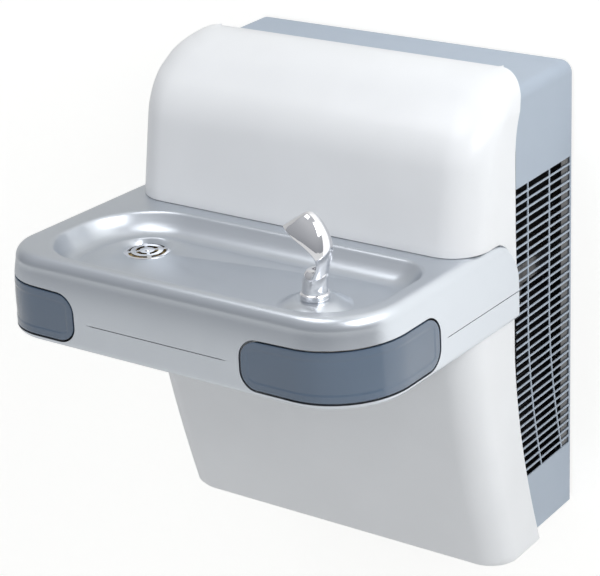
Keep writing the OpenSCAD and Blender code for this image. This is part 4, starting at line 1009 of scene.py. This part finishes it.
@dataclass
class PushPad:
    """A glossy push pad that wraps a front corner of the basin."""

    side: Side
    inner_x: float
    end_y: float = 326 * MM
    top_drop: float = 190 * MM
    fall: float = 4 * MM
    fall_middle: float = 0.35
    fall_power: float = 1.5
    foot_drop: float = 248 * MM
    radius: float = 20 * MM
    thickness: float = 8 * MM
    gap: float = 2.5 * MM
    border: float = 8.5 * MM
    step: float = 0.5 * MM
    step_run: float = 1.2 * MM
    sink: float = 0.3 * MM
    edge: float = 1.6 * MM

    def runs(self) -> tuple[float, float]:
        """Where the pad starts and ends along the basin's edge.

        Returns:
            The two runs.
        """
        stretch = 1 - PLAN.draw if self.side is Side.RIGHT else 1 + PLAN.flare
        corner = PLAN.corner(self.side)
        end = PLAN.reach(self.side) - corner + corner * math.pi / 2 + PLAN.front - corner - self.end_y
        return self.inner_x / stretch, end

    def grid(
        self, grow: float, inset: float, columns: int = 150, rows: int = 44, swell: bool = False
    ) -> np.ndarray:
        """The pad's face as a grid.

        Formula: columns stand along the basin's edge; each reaches from the lower to the upper
        edge line, and both lines turn in at the two ends as quarter circles. Inside a border the
        face stands a little lower, by a smooth step.

        Args:
            grow: distance added all round the outline.
            inset: distance of the face inside the basin's outline.
            columns: number of columns.
            rows: number of rows.
            swell: whether the face stands lower inside the border.

        Returns:
            Rows by columns by 3, rows going up.
        """
        start, end = self.runs()
        start, end = start - grow, end + grow
        r = self.radius + grow
        run = start + (end - start) * 0.5 * (1 - np.cos(np.linspace(0, math.pi, columns)))
        near = np.clip(np.minimum(run - start, end - run), 0, r)
        turned = r - np.sqrt(np.maximum(0, r**2 - (r - near) ** 2))
        middle, reach = (start + end) / 2, (end - start) / 2
        far = np.clip((middle - run) / reach, -1, 1)
        slope = np.clip(self.fall_middle + (1 - self.fall_middle) * far, 0, 1) ** self.fall_power * self.fall
        top = self.top_drop + slope - grow + turned
        foot = self.foot_drop + grow - turned
        share = np.linspace(0, 1, rows)[:, None]
        drop = foot * (1 - share) + top * share
        depth = inset + PLAN.lean_at(drop)
        if swell:
            edge = np.minimum(np.minimum(drop - top, foot - drop), np.minimum(run - start, end - run)[None])
            depth += self.step * np.clip((edge - self.border) / self.step_run + 0.5, 0, 1)
        plan = PLAN.along_edge(self.side, np.broadcast_to(run, drop.shape), depth)
        return np.concatenate([plan, PROFILE.up(drop)[..., None]], -1)

    def oriented(self, grid: np.ndarray) -> np.ndarray:
        """Turns the grid's rows round on the left, so that faces point outwards."""
        return grid if self.side is Side.RIGHT else grid[:, ::-1]

    def cutter(self) -> Piece:
        """A solid that opens the pad's window in skirt and apron.

        Returns:
            The closed solid.
        """
        outer = self.oriented(self.grid(self.gap, -0.75 * self.thickness, 90, 3))
        inner = self.oriented(self.grid(self.gap, 1.5 * self.thickness, 90, 3))
        rows, columns = outer.shape[:2]
        front = grid_faces(rows, columns, False)
        back = front[:, ::-1] + rows * columns
        ring = np.concatenate([
            np.arange(columns), np.arange(1, rows) * columns + columns - 1,
            (rows - 1) * columns + np.arange(columns - 2, -1, -1), np.arange(rows - 2, 0, -1) * columns,
        ])
        nxt = np.roll(ring, -1)
        wall = np.stack([nxt, ring, ring + rows * columns, nxt + rows * columns], -1)
        points = np.concatenate([outer.reshape(-1, 3), inner.reshape(-1, 3)])
        faces = np.concatenate([front, back, wall]).tolist()
        return mesh_object("pad_window_" + self.side.name.lower(), points, faces)

    def build(self) -> None:
        """Makes and places the pad on its own body."""
        word = self.side.name.lower()
        piece = grid_object("push_pad_face_" + word, self.oriented(self.grid(0.0, self.sink, swell=True)))
        finished(piece, self.thickness, self.edge)
        place(piece, "pad_" + word, Slot.PAD_GREY, "push_pad_" + word)


@dataclass
class Basin:
    """The shallow basin with its rim, bowl and drain, and the apron under it."""

    wall: float = 2.4 * MM
    seam: float = 0.9 * MM
    bowl_left: float = 216 * MM
    bowl_right: float = 213 * MM
    bowl_front: float = 456 * MM
    bowl_back: float = 277 * MM
    bowl_radii: tuple = (68 * MM, 80 * MM, 45 * MM, 88 * MM)
    drain: tuple = (-151 * MM, -336 * MM)
    drain_r: float = 25 * MM
    depth: float = 30 * MM
    seam_front: tuple = (-129 * MM, 57 * MM)
    seam_side: float = 307 * MM
    seat_r: float = 45 * MM
    seat_top: float = 20 * MM
    seat_rise: float = 9 * MM
    seat_drop: float = 24 * MM
    foot_r: float = 8 * MM
    floor_inset: float = 36 * MM
    floor_gap: float = 1 * MM
    floor_radii: tuple = (25 * MM, 55 * MM, 1 * MM, 1 * MM)
    cheek_rise: float = 1.0 * MM
    overrun: float = 20 * MM

    def bowl_loop(self, inset: np.ndarray) -> np.ndarray:
        """Outlines of the bowl at insets from its edge.

        Args:
            inset: distance inside the bowl's edge, one per row.

        Returns:
            Rows by points by (x, y).
        """
        box = np.stack([
            -self.bowl_left + inset, self.bowl_right - inset,
            -self.bowl_front + inset, -self.bowl_back - inset,
        ], -1)
        front_left, front_right, back_right, back_left = self.bowl_radii
        radii = np.stack(
            [front_left - inset, front_right - inset, back_right - inset * 0.6, back_left - inset], -1
        )
        return PLAN.drawn(round_loop(box, radii, PLAN.arc, PLAN.straight))

    def seam_gap(self, points: np.ndarray) -> np.ndarray:
        """Half the seam's gap: open between the pads and along the sides, else closed.

        Args:
            points: points whose first two values are x and y.

        Returns:
            The half gap at each.
        """
        x, y = points[..., 0], points[..., 1]
        between = (x > self.seam_front[0]) & (x < self.seam_front[1])
        front = between & (y < -PLAN.front + PLAN.corner_left / 2)
        side = (y > -self.seam_side) & (np.abs(x) > PLAN.reach_right * 0.7)
        return np.where(front | side, self.seam / 2, 0.01 * MM)

    def skirt_rows(self) -> np.ndarray:
        """The outside from the seam up over the rim.

        Formula: upright with a slight lean to the rim, then a quarter of an ellipse.

        Returns:
            Rows of points.
        """
        low = PLAN.rim_drop()
        drops = np.linspace(PROFILE.seam_drop, low, 12)
        turn = np.linspace(0, math.pi / 2, 14)[1:]
        inset = np.concatenate([PLAN.lean_at(drops), PLAN.lean + PLAN.rim * (1 - np.cos(turn))])
        drop = np.concatenate([drops, low - (low - PROFILE.deck_drop) * np.sin(turn)])
        rows = lifted(PLAN.loop(inset), PROFILE.up(drop))
        rows[0, :, 2] += self.seam_gap(rows[0])
        return rows

    def bowl_rows(self) -> np.ndarray:
        """The deck's inner edge and the bowl's wall.

        Formula: a smooth curve through pairs of inset and depth, carried round the bowl's edge.

        Returns:
            Rows of points.
        """
        section = np.array([
            [0.0, 0.0], [2.0, 0.5], [4.2, 2.2], [7.2, 6.8], [11.6, 13.0], [17.0, 18.5],
            [23.0, 21.9], [29.0, 23.4],
        ]) * MM
        curve = spline(section, 30)
        return lifted(self.bowl_loop(curve[:, 0]), PROFILE.up(PROFILE.deck_drop + curve[:, 1]))

    def floor_rows(self, ring: np.ndarray) -> np.ndarray:
        """The bowl's floor, falling to the drain.

        Formula: each ring point moves straight towards the drain's circle, and the depth grows
        as a smooth step of the distance covered.

        Args:
            ring: the floor's outer points.

        Returns:
            Rows of points.
        """
        centre = np.array(self.drain)
        arm = ring[:, :2] - centre
        unit = arm / np.linalg.norm(arm, axis=1, keepdims=True)
        share = np.linspace(0, 1, 42)[1:, None, None]
        plan = (ring[None, :, :2] * (1 - share) + (centre + unit * self.drain_r * 0.9)[None] * share)
        level = share[..., 0] ** 1.6
        z = ring[None, :, 2] * (1 - level) + PROFILE.up(PROFILE.deck_drop + self.depth) * level
        return np.concatenate([plan, z[..., None]], -1)

    def shell(self, windows: list[Piece]) -> Piece:
        """The basin in one skin.

        Args:
            windows: solids that open the pads' windows.

        Returns:
            The basin with its wall, cut to the shroud's cheeks.
        """
        skirt, bowl = self.skirt_rows(), self.bowl_rows()
        share = np.linspace(0, 1, 5)[1:-1, None, None]
        deck = skirt[-1] * (1 - share) + bowl[0] * share
        floor = self.floor_rows(bowl[-1])
        piece = grid_object("basin_moulding", np.concatenate([skirt, deck, bowl, floor]), closed=True)
        finished(piece, self.wall)
        rear = prism_along_x("rear_cutter", self.behind_cheek())
        carve(piece, [rear, self.rear_gap(), *windows])
        piece.data.set_sharp_from_angle(angle=math.radians(CREASE))
        return piece

    def behind_cheek(self) -> np.ndarray:
        """Outline of what lies behind the basin's curved rear ends.

        Formula: the cheek's curve, then back past the wall, up and forwards again.

        Returns:
            Points (y, z), anticlockwise seen from +X.
        """
        curve = PROFILE.cheek_curve(0.0, self.cheek_rise)
        past, above = self.overrun, PROFILE.up(PROFILE.deck_drop - self.overrun)
        return np.array(curve + [(past, curve[-1][1]), (past, above), (-PROFILE.cheek, above)])

    def rear_gap(self) -> Piece:
        """A block that removes the closed back between the side walls.

        Returns:
            The closed block.
        """
        left, right = 2 * self.wall - PLAN.reach_left, PLAN.reach_right - 2 * self.wall
        z = PROFILE.up(np.array([CUTTER_REACH, CUTTER_REACH / 3]))
        box = np.array([[left, right, -PLAN.back - 2 * self.wall, self.overrun]] * 2)
        loop = round_loop(box, np.full((2, 4), 0.1 * MM), 1, 1)
        return grid_object("rear_gap_cutter", lifted(loop, z), closed=True, caps=(True, True))

    def apron(self, windows: list[Piece]) -> Piece:
        """The strip under the seam, rounded into a flat underside.

        Args:
            windows: solids that open the pads' windows.

        Returns:
            The apron with its wall.
        """
        turn = np.linspace(math.pi / 2, 0, 9)
        flat = self.foot_r + np.array([30, 10]) * MM
        inset = np.concatenate([flat, self.foot_r * (1 - np.cos(turn)), np.zeros(5)])
        low = PROFILE.apron_drop - self.foot_r
        drop = np.concatenate([
            np.full(2, PROFILE.apron_drop), low + self.foot_r * np.sin(turn),
            np.linspace(low, PROFILE.seam_drop, 6)[1:],
        ])
        rows = lifted(PLAN.loop(inset), PROFILE.up(drop))
        rows[-1, :, 2] -= self.seam_gap(rows[-1])
        piece = finished(grid_object("basin_apron_moulding", rows, closed=True), self.wall)
        carve(piece, [self.rear_gap(), *windows])
        join(piece, [self.apron_floor()])
        piece.data.set_sharp_from_angle(angle=math.radians(CREASE))
        return piece

    def apron_floor(self) -> Piece:
        """The flat underside, as far back as the lower panel's head.

        Returns:
            The closed plate.
        """
        z = PROFILE.up(PROFILE.apron_drop)
        y0, y1 = -PLAN.front + self.floor_inset + self.floor_gap, -PROFILE.front - self.floor_gap
        x0, x1 = self.floor_inset - PLAN.reach_left, PLAN.reach_right - self.floor_inset
        box = np.array([[x0, x1, y0, y1]] * 2)
        radii = np.array([self.floor_radii] * 2)
        loop = PLAN.drawn(round_loop(box, radii, 20, 10))
        plate = lifted(loop, np.array([z, z + self.wall]))
        return grid_object("apron_floor", plate, closed=True, caps=(True, True))

    def dome(self) -> Piece:
        """The raised seat of the bubbler.

        Formula: half a cosine wave from the foot's radius to the top's, turned about the axis.

        Returns:
            The closed seat.
        """
        share = np.linspace(0, 1, 22)
        r = self.seat_r - (self.seat_r - self.seat_top) * share
        z = self.seat_rise * 0.5 * (1 - np.cos(math.pi * share))
        foot, top = [[self.seat_r + 0.6 * MM, -1.2 * MM]], [[self.seat_top / 2, self.seat_rise]]
        profile = np.concatenate([foot, np.column_stack([r, z]), top])
        base = PROFILE.up(PROFILE.deck_drop + self.seat_drop)
        return finished(lathe("bubbler_seat", profile, (*BUBBLER_AT, base), 96))

    def build(self, pads: list[PushPad]) -> None:
        """Makes and places basin, apron and seat.

        Args:
            pads: the push pads, whose windows are cut.
        """
        place(self.shell([pad.cutter() for pad in pads]), "root", Slot.SATIN_STEEL, "basin")
        place(self.apron([pad.cutter() for pad in pads]), "root", Slot.SATIN_STEEL, "basin_apron")
        place(self.dome(), "root", Slot.SATIN_STEEL)


def join(piece: Piece, others: list[Piece]) -> None:
    """Adds other objects' meshes to a piece and removes them.

    Args:
        piece: the object that grows.
        others: the objects whose meshes it takes.
    """
    points, faces, start = [], [], 0
    for source in (piece, *others):
        mesh = source.data
        co = np.empty(len(mesh.vertices) * 3)
        mesh.vertices.foreach_get("co", co)
        points.append(co.reshape(-1, 3))
        faces += [[v + start for v in face.vertices] for face in mesh.polygons]
        start += len(mesh.vertices)
    whole = mesh_object(piece.name + "_joined", np.concatenate(points), faces)
    old = piece.data
    piece.data = whole.data
    bpy.data.objects.remove(whole)
    for source in others:
        bpy.data.objects.remove(source)
    bpy.data.meshes.remove(old)


@dataclass
class Bubbler:
    """The polished bubbler: base ring, body and a curved hood over the jet."""

    sheet: float = 2 * MM
    edge: float = 0.5 * MM
    seat_drop: float = 15 * MM
    # Gap and wall of the black sheet inside the hood, a painted dark reflection
    painted_dark_reflection_gap: float = 0.25 * MM
    painted_dark_reflection_wall: float = 0.2 * MM
    sway: float = 2.5 * MM
    sway_height: float = 30 * MM

    def origin(self) -> np.ndarray:
        """The middle of the seat's top."""
        return np.array([*BUBBLER_AT, PROFILE.up(PROFILE.deck_drop + self.seat_drop)])

    def arch(self) -> np.ndarray:
        """The hood's inner face.

        Formula: an arch between two curves in the plane of the jet, the spine and the rims. At
        each station the arch leaves the spine by (1 - cos a) of the way to the rims, and is
        sin a of the half width to the side, for a from -90 to 90 degrees.

        Returns:
            Rows of points from the hood's foot to its tip.
        """
        spine = spline(np.array([
            [12, 26], [15.5, 40], [19, 57], [16.5, 74], [8.5, 88], [-3, 96], [-18, 88.5], [-35, 76],
        ]) * MM, 60)
        rims = spline(np.array([
            [4, 27], [10, 37], [12, 50], [4, 61], [-8, 68.5], [-18, 72], [-27, 74], [-34.6, 75.6],
        ]) * MM, 60)
        half = spline(np.array([[12], [11.5], [13.5], [15.5], [15.5], [13], [8], [1.2]]) * MM, 60)
        turn = np.linspace(math.pi / 2, -math.pi / 2, 33)
        lean = (1 - np.cos(turn))[None, :, None]
        plan = spine[:, None] + (rims - spine)[:, None] * lean
        y = half * np.sin(turn)[None]
        return np.stack([plan[..., 0], y, plan[..., 1]], -1) + self.origin()

    def hood(self) -> Piece:
        """The hood with its wall."""
        return finished(grid_object("bubbler_hood", self.arch()), self.sheet, self.edge)

    def painted_dark_reflection(self) -> Piece:
        """A black sheet inside the hood: a painted dark reflection of the polished metal's surroundings.

        Formula: each point of the arch moves in along the face's normal, the cross product of the
        steps across and along it.

        Returns:
            A thin black sheet, a painted dark reflection, that stops short of the tip and the edges.
        """
        grid = self.arch()
        normal = np.cross(np.gradient(grid, axis=1), np.gradient(grid, axis=0))
        normal /= np.linalg.norm(normal, axis=-1, keepdims=True)
        inner = (grid + normal * self.painted_dark_reflection_gap)[2:-6, 2:-2]
        return finished(grid_object("bubbler_hood_lining", inner), self.painted_dark_reflection_wall)

    def body(self) -> Piece:
        """Ring and column, turned, then leaned towards the hood's foot.

        Formula: a turned profile whose rings move sideways by a square of their height.

        Returns:
            The closed body.
        """
        profile = np.array([
            [0.2, 0.0], [15.6, 0.0], [16.5, 0.9], [16.5, 6.4], [15.7, 7.6], [14.4, 8.2], [14.1, 9.4],
            [14.2, 14.0], [14.0, 20.0], [13.6, 26.0], [12.6, 30.5], [10.6, 33.4], [7.0, 34.6], [4.4, 34.4],
            [3.8, 33.2], [3.8, 26.0], [0.2, 26.0],
        ]) * MM
        turn = np.linspace(0, 2 * math.pi, 72, endpoint=False)
        r, z = profile[:, :1], profile[:, 1:]
        shift = self.sway * np.clip(z / self.sway_height, 0, 1.2) ** 2
        grid = np.stack([r * np.cos(turn) + shift, r * np.sin(turn), z + 0 * turn], -1) + self.origin()
        return finished(grid_object("bubbler_body", grid, closed=True, caps=(True, True)), crease=32)

    def build(self) -> None:
        """Makes and places the bubbler's pieces."""
        place(self.body(), "root", Slot.POLISHED_STEEL, "bubbler", "bubbler_nozzle")
        place(self.hood(), "root", Slot.POLISHED_STEEL)
        # Black sheet inside the hood: painted dark reflection of the surroundings
        place(self.painted_dark_reflection(), "root", Slot.BLACK_PLASTIC)


@dataclass
class CarriedParts:
    """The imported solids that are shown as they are, each with its finish."""

    def build(self, frame: dict) -> None:
        """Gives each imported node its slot's material.
        """
        slots = {row["node"]: Slot(row["material_slot"]) for row in frame["record"]["subparts"]}
        for name, node in frame["nodes"].items():
            node.data.materials.clear()
            node.data.materials.append(material_for(slots[name]))
        LOG.info("dressed %d packed nodes", len(frame["nodes"]))


@dataclass
class Studio:
    """Wall, floor, light and camera."""

    camera_at: tuple = (1.33320, -2.12075, 1.01140)
    right: tuple = (0.82433479, 0.56440726, -0.0437789)
    down: tuple = (0.1849925, -0.34165978, -0.92143712)
    forward: tuple = (-0.53502329, 0.75147391, -0.38605315)
    lens: float = 129.49
    floor_z: float = -1.15
    wall_y: float = 4 * MM
    reach: float = 6.0
    wall_top: float = 5.0
    white: tuple = (1.0, 1.0, 0.985, 1.0)
    glow_share: float = 0.55
    glow: float = 1.38
    mirrored_ends: tuple = (-0.4, 0.5)
    wall_paint: tuple = (0.86, 0.86, 0.85, 1.0)

    def camera(self) -> None:
        """Places the camera as the photograph's was."""
        data = bpy.data.cameras.new("camera")
        data.lens, data.sensor_width, data.clip_end = self.lens, 36.0, 50.0
        camera = bpy.data.objects.new("camera", data)
        axes = [Vector(self.right), -Vector(self.down), -Vector(self.forward)]
        turn = Matrix(axes).transposed().to_4x4()
        camera.matrix_world = Matrix.Translation(Vector(self.camera_at)) @ turn
        bpy.context.scene.collection.objects.link(camera)
        bpy.context.scene.camera = camera

    def backdrop(self, name: str, corners: list, mirrored: tuple) -> None:
        """A pale plane that shows white to the camera, keeps a soft shadow and is clear from behind.

        Args:
            name: the plane's name.
            corners: its four corners.
            mirrored: how bright it glows in reflections, on the left and on the right.
        """
        plane = mesh_object(name, np.array(corners, float), [[0, 1, 2, 3]])
        material = bpy.data.materials.new(name)
        material.use_nodes = True
        graph = Graph(material.node_tree)
        path = graph.add("LightPath").outputs
        camera = path["Is Camera Ray"]
        seen = graph.add("Math", {0: camera, 1: path["Is Glossy Ray"]}, operation="MAXIMUM")
        seen = graph.add("Math", {0: seen.outputs[0], 1: path["Is Transmission Ray"]}, operation="MAXIMUM")
        share = graph.add("Math", {0: seen.outputs[0], 1: self.glow_share}, operation="MULTIPLY")
        across = graph.add("SeparateXYZ", {0: graph.add("TexCoord").outputs["Object"]}).outputs[0]
        left, right = self.mirrored_ends
        ends = {"Value": across, 1: left, 2: right, 3: mirrored[0], 4: mirrored[1]}
        side = graph.add("MapRange", ends).outputs[0]
        strength = graph.add("MapRange", {"Value": camera, 3: side, 4: self.glow}).outputs[0]
        paint = graph.add("BsdfDiffuse", {"Color": self.wall_paint})
        glow = graph.add("Emission", {"Color": self.white, "Strength": strength})
        both = graph.add("MixShader", {0: share.outputs[0], 1: paint.outputs[0], 2: glow.outputs[0]})
        away = graph.add("NewGeometry").outputs["Backfacing"]
        clear = graph.add("BsdfTransparent")
        shown = graph.add("MixShader", {0: away, 1: both.outputs[0], 2: clear.outputs[0]})
        graph.add("OutputMaterial", {"Surface": shown.outputs[0]})
        plane.data.materials.append(material)

    def lamp(self, name: str, at: tuple, aim: tuple, size: tuple, power: float) -> None:
        """A soft rectangular lamp.

        Args:
            name: the lamp's name.
            at: where it stands.
            aim: the point it faces.
            size: its width and height.
            power: its power in watts.
        """
        data = bpy.data.lights.new(name, "AREA")
        data.shape, data.size, data.size_y, data.energy = "RECTANGLE", size[0], size[1], power
        lamp = bpy.data.objects.new(name, data)
        lamp.location = at
        lamp.rotation_euler = (Vector(aim) - Vector(at)).to_track_quat("-Z", "Y").to_euler()
        bpy.context.scene.collection.objects.link(lamp)

    def world(self) -> None:
        """White to the camera; to everything else brighter above than below."""
        world = bpy.data.worlds.new("studio")
        bpy.context.scene.world = world
        world.use_nodes = True
        graph = Graph(world.node_tree)
        where = graph.add("TexCoord").outputs["Generated"]
        height = graph.add("SeparateXYZ", {0: where}).outputs[2]
        share = graph.add("MapRange", {"Value": height, 1: -0.5, 2: 0.6, 3: 0.0, 4: 1.0}).outputs[0]
        colour = graph.tint(share, (0.22, 0.23, 0.25), (0.56, 0.57, 0.59))
        camera = graph.add("LightPath").outputs["Is Camera Ray"]
        light = graph.add("Background", {"Color": colour, "Strength": 1.0})
        white = graph.add("Background", {"Color": self.white, "Strength": 1.0})
        both = graph.add("MixShader", {0: camera, 1: light.outputs[0], 2: white.outputs[0]})
        graph.add("OutputWorld", {"Surface": both.outputs[0]})

    def build(self) -> None:
        """Sets up the whole studio."""
        wide, y, z, top = self.reach, self.wall_y, self.floor_z, self.wall_top
        foot = [(-wide, y, z), (wide, y, z)]
        self.backdrop("wall", foot + [(wide, y, top), (-wide, y, top)], (0.7, 1.9))
        self.backdrop("floor", [(-wide, -wide, z), (wide, -wide, z)] + foot[::-1], (1.0, 1.1))
        middle = (0.0, -0.2, 0.0)
        self.lamp("key", (1.9, -0.75, 1.5), middle, (1.2, 1.2), 26.5)
        self.lamp("top", (-0.3, -1.0, 2.2), middle, (1.6, 1.0), 11.0)
        self.world()
        bpy.context.scene.view_settings.view_transform = "Standard"
        self.camera()


def main() -> None:
    """Builds the dressed water cooler and its studio."""
    logging.basicConfig(level=logging.INFO, format="%(name)s: %(message)s")
    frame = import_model()
    Studio().build()
    CarriedParts().build(frame)
    pads = [PushPad(Side.RIGHT, 80 * MM), PushPad(Side.LEFT, 151 * MM)]
    UpperShroud().build()
    LowerPanel().build()
    Basin().build(pads)
    for pad in pads:
        pad.build()
    Bubbler().build()


if __name__ == "__main__":
    main()
